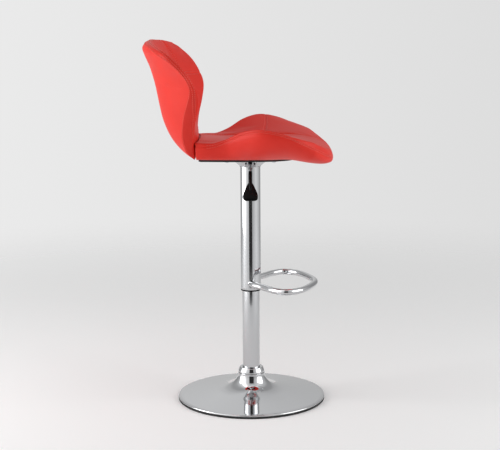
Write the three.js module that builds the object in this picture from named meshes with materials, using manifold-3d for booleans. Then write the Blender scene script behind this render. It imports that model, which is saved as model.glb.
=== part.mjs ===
// A diner counter stool: two upholstered pads on a gas lift that slides and swivels over a trumpet foot.
// Millimetres, +Z up. The origin is on the floor at the column's axis, +X is the way the sitter faces.
// It is built at the top of its travel, as photographed: the upper tube at its highest, the lever at rest.
import * as THREE from "three";
import { mergeVertices } from "three/addons/utils/BufferGeometryUtils.js";
import Module from "manifold-3d";

const wasm = await Module();
wasm.setup();

// Driving dimensions of the whole stool.
const footRadius = 192.5; // the foot measures 385 across, the photograph's scale
const travel = 195; // stroke of the gas lift
const collarTopZ = 84; // top of the trim collar on the foot
const columnOverlap = 86; // how far the two tubes still overlap when fully up
const raisedTubeZ = 293.5; // bottom of the upper tube when the stool is fully up
const seatUndersideZ = 644; // underside of the seat pad when fully up
const upperTubeRadius = 26;
const lowerTubeRadius = 22.5;
const cylinderRadius = 14;
const rodRadius = 5;
const fit = 0.3; // face to face gap between seated pieces
const softGap = 0.6; // gap round the pieces buried in a pad
const overrun = 4; // how far a cutter runs past what it cuts

// Foot
const dish = { wall: 2, rimTopZ: 9.4, rimUnderZ: 4.3, rimRound: 2.4, neckRadius: 34.6 };
// Height of the dish above the floor at each radius, as shares of the foot's radius and of the neck's height.
const dishRadiusShares = [0.96, 0.86, 0.72, 0.57, 0.43, 0.33, 0.265, 0.225, 0.198, 0.184];
const dishHeightShares = [0.155, 0.19, 0.24, 0.3, 0.375, 0.46, 0.56, 0.67, 0.8, 0.91];
const floorRing = { height: 4, width: 14, lip: 3, step: 2 };
const cover = { thickness: 1.2, drop: 1.3 };
const ballast = { thickness: 8, bore: 24 };
const ballastRadiusShare = 0.77; // the weight's radius, as a share of the foot's
const collar = { height: 15, wideRadius: 34.4, topRadius: 27.6, round: 3 };
const socket = { flangeRadius: 44, flangeThickness: 4, wall: 3.4, height: 44 };

// Column
const lowerTube = { wall: 2 };
const upperTube = { wall: 1.5, windowWidth: 10.4, windowHeight: 17 };
const endRing = { lip: 3, length: 26 };
const guideBush = { length: 40, flange: 1.8 };
const cylinder = { wall: 1.6, footClear: 5, plateClear: 22, taperLength: 34 };
const cylinderTaperShare = 0.94; // the cylinder's top radius, as a share of its own
const gland = { length: 16 };
const piston = { length: 12 };
const rod = { stub: 1.5, pistonInset: 20 };
const clip = { radius: 8.6, thickness: 1.5 };
const endPlate = { thickness: 5, liftZ: 11 };
const washer = { thickness: 2, radius: 13 };
const bearing = { thickness: 3.2, radius: 12.4, bore: 6.4 };
const buffer = { length: 12, radius: 12.6 };
const tubeSocket = { length: 24 };
const valvePin = { radius: 4, tipRadius: 2, tipLength: 3, length: 20 };

// Footrest
const footrest = { tubeRadius: 8, wall: 1.6, z: 311.6, endX: 3, frontX: 167, halfWidth: 123.5 };
// Waypoints of half the footrest loop, as shares of the run from its end to its front and of its half width.
const footrestRunShares = [-0.025, 0, 0.17, 0.345, 0.525, 0.735, 0.905, 1];
const footrestWidthShares = [0.16, 0.275, 0.555, 0.86, 1, 0.86, 0.475, 0];

// Under the seat
const board = { thickness: 12, sink: 7, inset: 5.5, holeRadius: 4.4 };
const seatPlate = { thickness: 3, halfX: 76, halfY: 62, corner: 14, boltX: 60, boltY: 46, boltHole: 3.3 };
const lining = { thickness: 0.9, inset: 3, window: 1.6 };
const plateBolt = { headRadius: 5.4, headHeight: 3.4, shankRadius: 2.8 };
const tNut = { flangeRadius: 9, flangeThickness: 1.6, barrelRadius: 4.1, bore: 3.1 };
const flare = { wall: 1.2, topWall: 1.9, topRadius: 50, bottomDrop: 18, slotWidth: 9.4 };
const flareScrew = { hole: 2.6, drop: 7.6 };
const neckScrew = { radius: 2.2, length: 15.6, angle: 15.5 };
const bracket = { wall: 2.4, halfY: 7, gap: 0.4, drop: 17, pinZDrop: 10.5, pinY: -15.5, pinRadius: 2.4 };

// Lever
const lever = { rodRadius: 3.5, armHalfX: 4, armHeight: 8, armInner: 7, armOuter: 9 };
const leverElbow = { y: -55, radius: 12 };
const leverSlope = { angle: 57, reach: 53 };
const handle = { length: 50, neckHalf: 6.4, wideHalf: 19.4, thickness: 6.4, corner: 6, sleeve: 31 };
const handleSleeveRadius = 4.8;
const handleWideShare = 0.76; // how far down the handle its widest place lies
const handleFlankShare = 0.3; // how much the handle's corners open at its neck, as a share of their size

// Spine that joins the two pads inside, bent from flat steel
const spine = { thickness: 3, halfY: 52, frontX: -74, elbowX: -150, bendRadius: 45, topX: -223, topZ: 832 };
const spineBend = { x: -203, z: 736, radius: 120 };
const spineScrew = { headRadius: 4.8, headHeight: 2.4, shankRadius: 2, x: -98, y: 32, length: 11 };

// Pads
const seat = { rearX: -128, frontX: 207, halfWidth: 205, crestZ: 732, frontZ: 662, midZ: 688 };
const seatBase = { rearX: -130, frontX: 128, halfY: 92 };
const seatBorder = { bulge: 24, lipDrop: 12, lipTuck: 45, lipStartX: 95 };
// Shares that shape the seat's border: how far it bulges, how low that lies, how far it comes in underneath.
const seatBulgeShare = 0.26;
const seatFallShare = 0.4;
const seatUnderShare = 0.55;
const lipUnderShare = 0.17; // what the front lip adds to the last of them
const back = { creaseX: -131, creaseZ: 689, topX: -248, topZ: 938, halfWidth: 232 };
// Shares that shape the back's border: its bulge, where that starts, how far it tips up over the top edge.
const backBulgeShare = 0.3;
const backBulgeRiseShare = 0.2;
const backTopShare = 0.7;
const backTipShare = 0.9;
const borderHandleShare = 0.2; // where the border's two inner points stand between its edges
const panelBow = { seatAlong: 2.5, seatUp: 2.2, under: 2, backAlong: 2.2, backUp: 2.8 }; // powers of u
const seam = { depth: 2.6, width: 5.5, puff: 3, run: 16 };
const seamLineShare = 1.6; // the grid lines each side of a seam, as a share of its width
const gridClearShare = 0.6; // the grid leaves out places nearer a seam than this share of its step
const seamSeatY = 72; // the seat's two sewn lines run this far from its middle
const seamBackShare = 0.65; // the back's two sewn lines, as a share of its half width at each height
// The seat's cross seam: its places along the middle and the side lines, and the power of its way between.
const crossSeam = { middleShare: 0.451, sideShare: 0.671, power: 3.9 };
const seamBackAlongShare = 0.61; // the back's cross seam, as a share of its lines
const seamGridShare = 0.5; // where the pads' grids keep a line for the sewn lines
const padColour = 0xd8302f;

const chrome = { color: 0xc9cacc, metalness: 1, roughness: 0.08 };
const darkSteel = { color: 0x55585c, metalness: 0.9, roughness: 0.4 };
const zinc = { color: 0xa9abad, metalness: 0.9, roughness: 0.35 };
const blackRubber = { color: 0x17181a, metalness: 0, roughness: 0.8 };
const blackPlastic = { color: 0x101113, metalness: 0, roughness: 0.3 };
const paleNylon = { color: 0xd9d6cc, metalness: 0, roughness: 0.5 };
const plywood = { color: 0x161514, metalness: 0, roughness: 0.7 };
const upholstery = { color: padColour, metalness: 0, roughness: 0.45 };
const blackFelt = { color: 0x1b1b1d, metalness: 0, roughness: 0.95 };

const stool = new THREE.Group();
stool.name = "diner_counter_stool";

// Adds one named piece.
function add(name, geometry, finish) {
  const mesh = new THREE.Mesh(geometry, new THREE.MeshStandardMaterial(finish));
  mesh.name = name;
  stool.add(mesh);
}

// A closed mesh as a manifold solid, for cuts and joins.
function solidOf(geometry) {
  const bare = geometry.index ? geometry.toNonIndexed() : geometry.clone();
  bare.deleteAttribute("normal");
  bare.deleteAttribute("uv");
  const merged = mergeVertices(bare, 1e-4);
  return new wasm.Manifold(
    new wasm.Mesh({
      numProp: 3,
      vertProperties: new Float32Array(merged.attributes.position.array),
      triVerts: new Uint32Array(merged.index.array),
    }),
  );
}

function geometryOf(solid) {
  const mesh = solid.getMesh();
  const geometry = new THREE.BufferGeometry();
  const position = new Float32Array(mesh.numVert * 3);
  for (let i = 0; i < mesh.numVert; i++)
    position.set(mesh.vertProperties.subarray(i * mesh.numProp, i * mesh.numProp + 3), i * 3);
  geometry.setAttribute("position", new THREE.BufferAttribute(position, 3));
  geometry.setIndex(new THREE.BufferAttribute(new Uint32Array(mesh.triVerts), 1));
  geometry.computeVertexNormals();
  return geometry;
}

function cut(geometry, ...cutters) {
  let solid = solidOf(geometry);
  for (const cutter of cutters) solid = solid.subtract(solidOf(cutter));
  return geometryOf(solid);
}

function join(first, ...others) {
  let solid = solidOf(first);
  for (const other of others) solid = solid.add(solidOf(other));
  return geometryOf(solid);
}

// A turned piece about the column's axis, from a profile of [radius, height] pairs that closes on itself.
function turned(profile, sides) {
  const points = profile.map(([radius, z]) => new THREE.Vector2(radius, z));
  points.push(points[0].clone());
  return new THREE.LatheGeometry(points, sides).rotateX(Math.PI / 2);
}

// A plain tube, ring or sleeve standing between two heights.
function sleeve(inner, outer, lowZ, highZ, sides) {
  return turned([[inner, lowZ], [outer, lowZ], [outer, highZ], [inner, highZ]], sides);
}

// A plain solid disc or rod about the column's axis.
function disc(radius, lowZ, highZ, sides) {
  return turned([[0, lowZ], [radius, lowZ], [radius, highZ], [0, highZ]], sides);
}

// A solid round bar standing between two heights, centred at x, y.
function bar(radius, lowZ, highZ, x, y, sides) {
  const height = highZ - lowZ;
  return new THREE.CylinderGeometry(radius, radius, height, sides)
    .rotateX(Math.PI / 2)
    .translate(x, y, lowZ + height / 2);
}

// A flat plate lying between two heights, cut from an outline.
function plate(shape, lowZ, highZ) {
  return new THREE.ExtrudeGeometry(shape, { depth: highZ - lowZ, bevelEnabled: false, curveSegments: 10 })
    .translate(0, 0, lowZ);
}

// Points round an arc, both ends included.
function arcPoints(x, y, radius, from, to, count) {
  const points = [];
  for (let i = 0; i <= count; i++) {
    const angle = from + ((to - from) * i) / count;
    points.push(new THREE.Vector2(x + radius * Math.cos(angle), y + radius * Math.sin(angle)));
  }
  return points;
}

function roundedRectangle(halfX, halfY, corner) {
  const quarter = Math.PI / 2;
  const signs = [[1, 1], [-1, 1], [-1, -1], [1, -1]];
  return signs.flatMap(([sx, sy], i) =>
    arcPoints(sx * (halfX - corner), sy * (halfY - corner), corner, i * quarter, (i + 1) * quarter, 6),
  );
}

function hole(x, y, radius) {
  return new THREE.Path(arcPoints(x, y, radius, 2 * Math.PI, 0, 20).slice(1));
}

// A round bar bent along a path, or a tube where it has a bore.
function bent(path, radius, bore, steps, sides) {
  const section = new THREE.Shape(arcPoints(0, 0, radius, 0, 2 * Math.PI, sides).slice(1));
  if (bore > 0) section.holes.push(new THREE.Path(arcPoints(0, 0, bore, 2 * Math.PI, 0, sides).slice(1)));
  return new THREE.ExtrudeGeometry(section, { steps, extrudePath: path, bevelEnabled: false });
}

// A strip bent from flat stock: a centre line in the XZ plane, given a thickness and a width.
function strip(centre, thickness, halfWidth) {
  const left = [];
  const right = [];
  centre.forEach((point, i) => {
    const before = centre[Math.max(i - 1, 0)];
    const after = centre[Math.min(i + 1, centre.length - 1)];
    const along = new THREE.Vector2().subVectors(after, before).normalize();
    const normal = new THREE.Vector2(-along.y, along.x).multiplyScalar(thickness / 2);
    left.push(point.clone().add(normal));
    right.push(point.clone().sub(normal));
  });
  const shape = new THREE.Shape([...left, ...right.reverse()]);
  return new THREE.ExtrudeGeometry(shape, { depth: 2 * halfWidth, bevelEnabled: false })
    .rotateX(Math.PI / 2)
    .translate(0, halfWidth, 0);
}

// Points round a bend between two straight runs that meet at a corner.
function bendPoints(from, corner, to, radius, steps) {
  const a = new THREE.Vector2().subVectors(from, corner).normalize();
  const b = new THREE.Vector2().subVectors(to, corner).normalize();
  const half = Math.acos(a.dot(b)) / 2;
  const tangent = radius / Math.tan(half);
  const start = corner.clone().addScaledVector(a, tangent);
  const end = corner.clone().addScaledVector(b, tangent);
  const curve = new THREE.QuadraticBezierCurve(start, corner, end);
  return curve.getPoints(steps);
}

// Heights that several pieces share, worked out from the driving dimensions.
const boardLowZ = seatUndersideZ + board.sink - board.thickness;
const boardHighZ = boardLowZ + board.thickness;
const plateHighZ = boardLowZ - fit;
const plateLowZ = plateHighZ - seatPlate.thickness;
const tubeHighZ = plateLowZ - fit;
const cylinderHighZ = tubeHighZ - cylinder.plateClear;
const tubeInner = upperTubeRadius - upperTube.wall;
const lowerInner = lowerTubeRadius - lowerTube.wall;
const cylinderInner = cylinderRadius - cylinder.wall;
const coverLowZ = floorRing.height - floorRing.step;
const coverHighZ = coverLowZ + cover.thickness;
const ballastHighZ = coverHighZ + fit + ballast.thickness;
const socketLowZ = ballastHighZ + fit;
const tubeSeatZ = socketLowZ + socket.flangeThickness + fit;
const collarLowZ = collarTopZ - collar.height;
const neckTopZ = collarLowZ - fit;
const lowerTubeTopZ = raisedTubeZ + columnOverlap;
const pinZ = tubeHighZ - bracket.pinZDrop;

// The foot: a spun dish, its rubber ring, and the weight hidden inside it.
function dishOutline() {
  return dishRadiusShares.map((share, i) => [share * footRadius, dishHeightShares[i] * neckTopZ]);
}

function footDish() {
  const outer = dishOutline();
  const sparse = outer.filter((_, i) => i % 2 === 0);
  const innerOutline = sparse.map(([radius, z]) => [radius - dish.wall, z - dish.wall]).reverse();
  const profile = [
    [footRadius - dish.wall, dish.rimUnderZ],
    [footRadius, dish.rimUnderZ],
    [footRadius, dish.rimTopZ - dish.rimRound],
    [footRadius - dish.rimRound, dish.rimTopZ],
    ...outer,
    [dish.neckRadius, neckTopZ],
    [dish.neckRadius - dish.wall, neckTopZ],
    ...innerOutline,
    [footRadius - dish.rimRound - dish.wall, dish.rimTopZ - dish.wall],
  ];
  return turned(profile, 48);
}

function footRing() {
  const outer = footRadius - dish.wall - fit;
  const profile = [
    [footRadius - floorRing.width, 0],
    [footRadius, 0],
    [footRadius, floorRing.height],
    [outer, floorRing.height],
    [outer - floorRing.lip, floorRing.height],
    [outer - floorRing.lip, floorRing.height - floorRing.step],
    [footRadius - floorRing.width, floorRing.height - floorRing.step],
  ];
  return turned(profile, 48);
}

function trimCollar() {
  const inner = lowerTubeRadius + fit;
  const profile = [
    [inner, collarLowZ],
    [collar.wideRadius, collarLowZ],
    [collar.wideRadius, collarLowZ + collar.round],
    [collar.topRadius + collar.round, collarTopZ - collar.round],
    [collar.topRadius, collarTopZ],
    [inner, collarTopZ],
  ];
  return turned(profile, 40);
}

function columnSocket() {
  const inner = lowerTubeRadius + fit;
  const outer = inner + socket.wall;
  const shelfZ = socketLowZ + socket.flangeThickness;
  const profile = [
    [lowerInner, socketLowZ],
    [socket.flangeRadius, socketLowZ],
    [socket.flangeRadius, shelfZ],
    [outer, shelfZ],
    [outer, socketLowZ + socket.height],
    [inner, socketLowZ + socket.height],
    [inner, shelfZ],
    [lowerInner, shelfZ],
  ];
  return turned(profile, 28);
}

// A stepped disc: its edge lies on the floor ring's flange and its middle hangs down inside the ring.
function bottomCover() {
  const middle = footRadius - floorRing.width - fit;
  const lowZ = coverLowZ + fit;
  const profile = [
    [0, lowZ - cover.drop],
    [middle, lowZ - cover.drop],
    [middle, lowZ],
    [coverRadius, lowZ],
    [coverRadius, coverHighZ],
    [0, coverHighZ],
  ];
  return turned(profile, 48);
}

const coverRadius = footRadius - dish.wall - fit - floorRing.lip - fit;
add("base_dish", footDish(), chrome);
add("floor_ring", footRing(), blackRubber);
add("bottom_cover", bottomCover(), darkSteel);
const ballastRadius = ballastRadiusShare * footRadius;
add("ballast_plate", sleeve(ballast.bore, ballastRadius, coverHighZ + fit, ballastHighZ, 40), darkSteel);
add("base_collar", trimCollar(), chrome);
add("column_socket", columnSocket(), darkSteel);

// The lower tube and what stands in it: the thrust bearing that the rod turns on, and the guide at its top.
const endPlateLowZ = tubeSeatZ + endPlate.liftZ;
const endPlateHighZ = endPlateLowZ + endPlate.thickness;
const rodHole = rodRadius + fit;
const lowWasherZ = endPlateHighZ + fit;
const bearingZ = lowWasherZ + washer.thickness + fit;
const highWasherZ = bearingZ + bearing.thickness + fit;
const bufferZ = highWasherZ + washer.thickness + fit;
const cylinderLowZ = bufferZ + buffer.length + travel + cylinder.footClear;
const clipLowZ = endPlateLowZ - fit - clip.thickness;
const lowerTubeGeometry = sleeve(lowerInner, lowerTubeRadius, tubeSeatZ, lowerTubeTopZ, 40);
add("lower_tube", lowerTubeGeometry, chrome);
add("tube_end_plate", sleeve(rodHole, lowerInner - fit, endPlateLowZ, endPlateHighZ, 20), darkSteel);
function thrustWasher(lowZ) {
  return sleeve(rodHole, washer.radius, lowZ, lowZ + washer.thickness, 20);
}
add("thrust_washer_lower", thrustWasher(lowWasherZ), zinc);
add("thrust_bearing", sleeve(bearing.bore, bearing.radius, bearingZ, bearingZ + bearing.thickness, 20), zinc);
add("thrust_washer_upper", thrustWasher(highWasherZ), zinc);
add("rubber_buffer", sleeve(rodHole, buffer.radius, bufferZ, bufferZ + buffer.length, 24), blackRubber);

function guide() {
  const inner = cylinderRadius + fit;
  const outer = lowerInner - fit;
  const flangeZ = lowerTubeTopZ + fit;
  const profile = [
    [inner, lowerTubeTopZ - guideBush.length],
    [outer, lowerTubeTopZ - guideBush.length],
    [outer, flangeZ],
    [lowerTubeRadius, flangeZ],
    [lowerTubeRadius, flangeZ + guideBush.flange],
    [inner, flangeZ + guideBush.flange],
  ];
  return turned(profile, 28);
}
add("guide_bush", guide(), paleNylon);

// The gas lift: the rod stands on the bearing, the cylinder slides and turns on it.
const pistonLowZ = cylinderLowZ + rod.pistonInset;
add("piston_rod", disc(rodRadius, clipLowZ - rod.stub, pistonLowZ + piston.length + fit, 20), chrome);
add("piston", sleeve(rodHole, cylinderInner - fit, pistonLowZ, pistonLowZ + piston.length, 20), zinc);
add("retaining_clip", sleeve(rodHole, clip.radius, clipLowZ, clipLowZ + clip.thickness, 18), zinc);

const pinBore = valvePin.radius + fit;
function gasCylinder() {
  const taperLowZ = cylinderHighZ - cylinder.taperLength;
  const topRadius = cylinderRadius * cylinderTaperShare;
  const headZ = taperLowZ + cylinder.wall;
  const profile = [
    [cylinderInner, cylinderLowZ],
    [cylinderRadius, cylinderLowZ],
    [cylinderRadius, taperLowZ],
    [topRadius, cylinderHighZ],
    [pinBore, cylinderHighZ],
    [pinBore, headZ],
    [cylinderInner, headZ],
  ];
  return turned(profile, 28);
}
add("gas_cylinder", gasCylinder(), { color: 0x222326, metalness: 0.6, roughness: 0.35 });
const glandHighZ = cylinderLowZ + gland.length;
add("cylinder_gland", sleeve(rodHole, cylinderInner - fit, cylinderLowZ, glandHighZ, 20), blackRubber);

function valve() {
  const tipZ = pinZ - lever.armHeight / 2 - fit;
  const shoulderZ = tipZ - valvePin.tipLength;
  const lowZ = tipZ - valvePin.length;
  const profile = [
    [0, lowZ],
    [valvePin.radius, lowZ],
    [valvePin.radius, shoulderZ],
    [valvePin.tipRadius, tipZ],
    [0, tipZ],
  ];
  return turned(profile, 20);
}
add("valve_pin", valve(), zinc);

// The upper tube slides over the lower one on a black end ring, and is welded up against the seat plate.
function upperColumn() {
  const tube = sleeve(tubeInner, upperTubeRadius, raisedTubeZ, tubeHighZ, 48);
  const windowHeight = upperTube.windowHeight + overrun;
  const windowDepth = upperTubeRadius;
  const opening = new THREE.BoxGeometry(upperTube.windowWidth, windowDepth, windowHeight).translate(
    0,
    -upperTubeRadius,
    tubeHighZ - upperTube.windowHeight + windowHeight / 2,
  );
  return cut(tube, opening);
}
add("upper_tube", upperColumn(), chrome);

function tubeEndRing() {
  const inner = lowerTubeRadius + fit;
  const lipHighZ = raisedTubeZ - fit;
  const profile = [
    [inner, lipHighZ - endRing.lip],
    [upperTubeRadius, lipHighZ - endRing.lip],
    [upperTubeRadius, lipHighZ],
    [tubeInner - fit, lipHighZ],
    [tubeInner - fit, lipHighZ + endRing.length],
    [inner, lipHighZ + endRing.length],
  ];
  return turned(profile, 40);
}
add("tube_end_ring", tubeEndRing(), blackPlastic);

// The socket welded in the upper tube grips the cylinder's taper.
function taperSocket() {
  const highZ = cylinderHighZ;
  const lowZ = highZ - tubeSocket.length;
  const lean = (cylinderRadius * (1 - cylinderTaperShare)) / cylinder.taperLength;
  const topInner = cylinderRadius * cylinderTaperShare + fit;
  const lowInner = topInner + lean * tubeSocket.length;
  return turned([[lowInner, lowZ], [tubeInner - fit, lowZ], [tubeInner - fit, highZ], [topInner, highZ]], 36);
}
add("taper_socket", taperSocket(), darkSteel);

// The footrest loop: one tube bent to an egg shape, its two ends welded to the sides of the upper tube.
function footrestLoop() {
  const half = footrestRunShares.map(
    (share, i) =>
      new THREE.Vector3(
        footrest.endX + share * (footrest.frontX - footrest.endX),
        -footrestWidthShares[i] * footrest.halfWidth,
        footrest.z,
      ),
  );
  const other = half
    .slice(0, -1)
    .reverse()
    .map((point) => new THREE.Vector3(point.x, -point.y, point.z));
  const path = new THREE.CatmullRomCurve3([...half, ...other]);
  const tube = bent(path, footrest.tubeRadius, footrest.tubeRadius - footrest.wall, 44, 10);
  const reach = footrest.tubeRadius + overrun;
  return cut(tube, bar(upperTubeRadius + fit, footrest.z - reach, footrest.z + reach, 0, 0, 48));
}
add("footrest_loop", footrestLoop(), chrome);

// The chrome flare round the top of the column, slotted for the lever, with two grub screws.
const flareLowZ = tubeHighZ - flare.bottomDrop;
const flareScrewZ = tubeHighZ - flareScrew.drop;
function neckFlare() {
  const inner = upperTubeRadius + fit;
  const profile = [
    [inner, flareLowZ],
    [inner + flare.wall, flareLowZ],
    [flare.topRadius, tubeHighZ],
    [flare.topRadius - flare.topWall, tubeHighZ],
  ];
  const slotHeight = flare.bottomDrop + overrun - upperTube.wall;
  const slot = new THREE.BoxGeometry(flare.slotWidth, flare.topRadius, slotHeight).translate(
    0,
    -upperTubeRadius,
    tubeHighZ + overrun - slotHeight / 2,
  );
  return cut(turned(profile, 40), slot, ...[-1, 1].map((side) => screwBar(side, flareScrew.hole, overrun)));
}

// A grub screw's bar, square to the flare's wall near the lever's slot.
function screwBar(side, radius, extra) {
  const turn = THREE.MathUtils.degToRad(neckScrew.angle) * side;
  const length = neckScrew.length + 2 * extra;
  return new THREE.CylinderGeometry(radius, radius, length, 16)
    .translate(0, -(upperTubeRadius + fit + length / 2 - extra), 0)
    .rotateZ(turn)
    .translate(0, 0, flareScrewZ);
}
add("neck_flare", neckFlare(), chrome);
add("neck_screw_left", screwBar(-1, neckScrew.radius, 0), blackPlastic);
add("neck_screw_right", screwBar(1, neckScrew.radius, 0), blackPlastic);

// The lever's bracket hangs under the seat plate inside the tube's top.
function leverBracket() {
  const inner = lever.armHalfX + bracket.gap;
  const outer = inner + bracket.wall;
  const highZ = plateLowZ - fit;
  const lowZ = highZ - bracket.drop;
  const shape = new THREE.Shape();
  shape.moveTo(-outer, lowZ);
  shape.lineTo(-inner, lowZ);
  shape.lineTo(-inner, highZ - bracket.wall);
  shape.lineTo(inner, highZ - bracket.wall);
  shape.lineTo(inner, lowZ);
  shape.lineTo(outer, lowZ);
  shape.lineTo(outer, highZ);
  shape.lineTo(-outer, highZ);
  const cheeks = new THREE.ExtrudeGeometry(shape, { depth: 2 * bracket.halfY, bevelEnabled: false })
    .rotateX(Math.PI / 2)
    .translate(0, bracket.pinY + bracket.halfY, 0);
  return cut(cheeks, crossPin(bracket.pinRadius + fit, outer + overrun));
}

function crossPin(radius, halfLength) {
  return new THREE.CylinderGeometry(radius, radius, 2 * halfLength, 20)
    .rotateZ(Math.PI / 2)
    .translate(0, bracket.pinY, pinZ);
}
add("lever_bracket", leverBracket(), zinc);
add("lever_pin", crossPin(bracket.pinRadius, lever.armHalfX + bracket.gap + bracket.wall), zinc);

// The release lever: a flat arm over the valve pin, then a round rod out through the slot to the handle.
const slope = THREE.MathUtils.degToRad(leverSlope.angle);
const slopeDirection = new THREE.Vector3(0, -Math.cos(slope), -Math.sin(slope));
const elbow = new THREE.Vector3(0, leverElbow.y, pinZ);
function alongSlope(distance) {
  return elbow.clone().addScaledVector(slopeDirection, distance);
}

function releaseLever() {
  const armLength = lever.armInner + lever.armOuter - bracket.pinY;
  const arm = new THREE.BoxGeometry(2 * lever.armHalfX, armLength, lever.armHeight).translate(
    0,
    lever.armInner - armLength / 2,
    pinZ,
  );
  const start = new THREE.Vector3(0, bracket.pinY - lever.armOuter + lever.rodRadius, pinZ);
  const bendIn = new THREE.Vector3(0, leverElbow.y + leverElbow.radius, pinZ);
  const path = new THREE.CurvePath();
  path.add(new THREE.LineCurve3(start, bendIn));
  path.add(new THREE.QuadraticBezierCurve3(bendIn, elbow, alongSlope(leverElbow.radius)));
  path.add(new THREE.LineCurve3(alongSlope(leverElbow.radius), alongSlope(leverSlope.reach)));
  const shank = bent(path, lever.rodRadius, 0, 18, 12);
  return cut(join(arm, shank), crossPin(bracket.pinRadius + fit, lever.armHalfX + overrun));
}
add("release_lever", releaseLever(), zinc);

// The spade handle: a moulded grip with a sleeve over the rod.
function leverHandle() {
  const wideY = handle.length * handleWideShare;
  const flank = handleFlankShare * handle.corner;
  const half = (side) => [
    [side * (handle.neckHalf - handle.corner / 2), 0],
    [side * handle.neckHalf, 0],
    [side * (handle.neckHalf + flank), handle.corner],
    [side * (handle.wideHalf - flank), wideY - handle.corner],
    [side * handle.wideHalf, wideY],
    [side * handle.wideHalf, wideY + flank],
    [side * handle.wideHalf, handle.length],
    [side * (handle.wideHalf - handle.corner), handle.length],
  ];
  const [neckSide, neckCorner, neckFlank, wideFlank, wideCorner, wideSide, endCorner, endSide] = half(1);
  const [farNeck, farNeckCorner, farFlank, farWideFlank, farWide, farWideSide, farEnd, farEndSide] = half(-1);
  const shape = new THREE.Shape();
  shape.moveTo(...farNeck);
  shape.lineTo(...neckSide);
  shape.quadraticCurveTo(...neckCorner, ...neckFlank);
  shape.lineTo(...wideFlank);
  shape.quadraticCurveTo(...wideCorner, ...wideSide);
  shape.quadraticCurveTo(...endCorner, ...endSide);
  shape.lineTo(...farEndSide);
  shape.quadraticCurveTo(...farEnd, ...farWideSide);
  shape.quadraticCurveTo(...farWide, ...farWideFlank);
  shape.lineTo(...farFlank);
  shape.quadraticCurveTo(...farNeckCorner, ...farNeck);
  const bevel = handle.thickness / 4;
  const paddle = new THREE.ExtrudeGeometry(shape, {
    depth: handle.thickness - 2 * bevel,
    bevelThickness: bevel,
    bevelSize: bevel,
    bevelOffset: -bevel,
    bevelSegments: 2,
    curveSegments: 5,
  }).translate(0, 0, bevel - handle.thickness / 2);
  const neckEnd = handle.length / 2;
  const neckLength = handle.sleeve + neckEnd;
  const neck = new THREE.CylinderGeometry(handleSleeveRadius, handleSleeveRadius, neckLength, 16)
    .translate(0, neckEnd - neckLength / 2, 0);
  const boreLength = handle.sleeve + handle.corner + overrun;
  const bore = new THREE.CylinderGeometry(lever.rodRadius + fit, lever.rodRadius + fit, boreLength, 14)
    .translate(0, handle.corner - boreLength / 2, 0);
  return cut(join(paddle, neck), bore)
    .rotateX(slope - Math.PI)
    .translate(...alongSlope(leverSlope.reach - handle.corner + 2 * fit).toArray());
}
add("lever_handle", leverHandle(), blackPlastic);

// The pads' sewn panels. A panel runs from a middle line to two mirrored side lines; u goes across it from
// -1 to 1 and v along it from 0 to 1. Points leave the middle line by a power of u, which hollows the pad.
function lineThrough(points) {
  const places = points.map(([x, y, z]) => new THREE.Vector3(x, y, z));
  return new THREE.CatmullRomCurve3(places, false, "centripetal");
}

function panel(middle, side, bowX, bowZ) {
  return (u, v) => {
    const m = middle.getPoint(v);
    const s = side.getPoint(v);
    const across = Math.abs(u);
    return new THREE.Vector3(
      m.x + (s.x - m.x) * across ** bowX,
      s.y * u,
      m.z + (s.z - m.z) * across ** bowZ,
    );
  };
}

// How far the face stands proud of its panel: full between the seams, drawn in along them and at the edge.
function quilting(u, v, seamU, seamV, halfSize, length) {
  const toSeam = Math.min(Math.abs(Math.abs(u) - seamU) * halfSize, Math.abs(v - seamV) * length);
  const toEdge = Math.min((1 - Math.abs(u)) * halfSize, v * length, (1 - v) * length);
  const rise = seam.puff * (1 - Math.exp(-Math.min(toSeam, toEdge) / seam.run));
  return rise - seam.depth * Math.exp(-((toSeam / seam.width) ** 2));
}

// Stretches a pad's grid so that its line at seamGridShare falls on the sewn line.
function stretched(place, seamU) {
  const across = Math.abs(place);
  const inner = (across * seamU) / seamGridShare;
  const outer = 1 - ((1 - across) * (1 - seamU)) / (1 - seamGridShare);
  return Math.sign(place) * (across < seamGridShare ? inner : outer);
}

// Grid places across and along, closer together on each side of a seam.
function gridPlaces(seams, low, high, size, count) {
  const places = [];
  for (let i = 0; i <= count; i++) places.push(low + ((high - low) * i) / count);
  const step = (high - low) / count;
  const beside = (seamLineShare * seam.width) / size;
  const isEnd = (place) => place === low || place === high;
  const isClear = (place) => seams.every((s) => Math.abs(place - s) > gridClearShare * step);
  const kept = places.filter((place) => isEnd(place) || isClear(place));
  for (const s of seams) kept.push(s - beside, s, s + beside);
  return kept.sort((a, b) => a - b);
}

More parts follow.
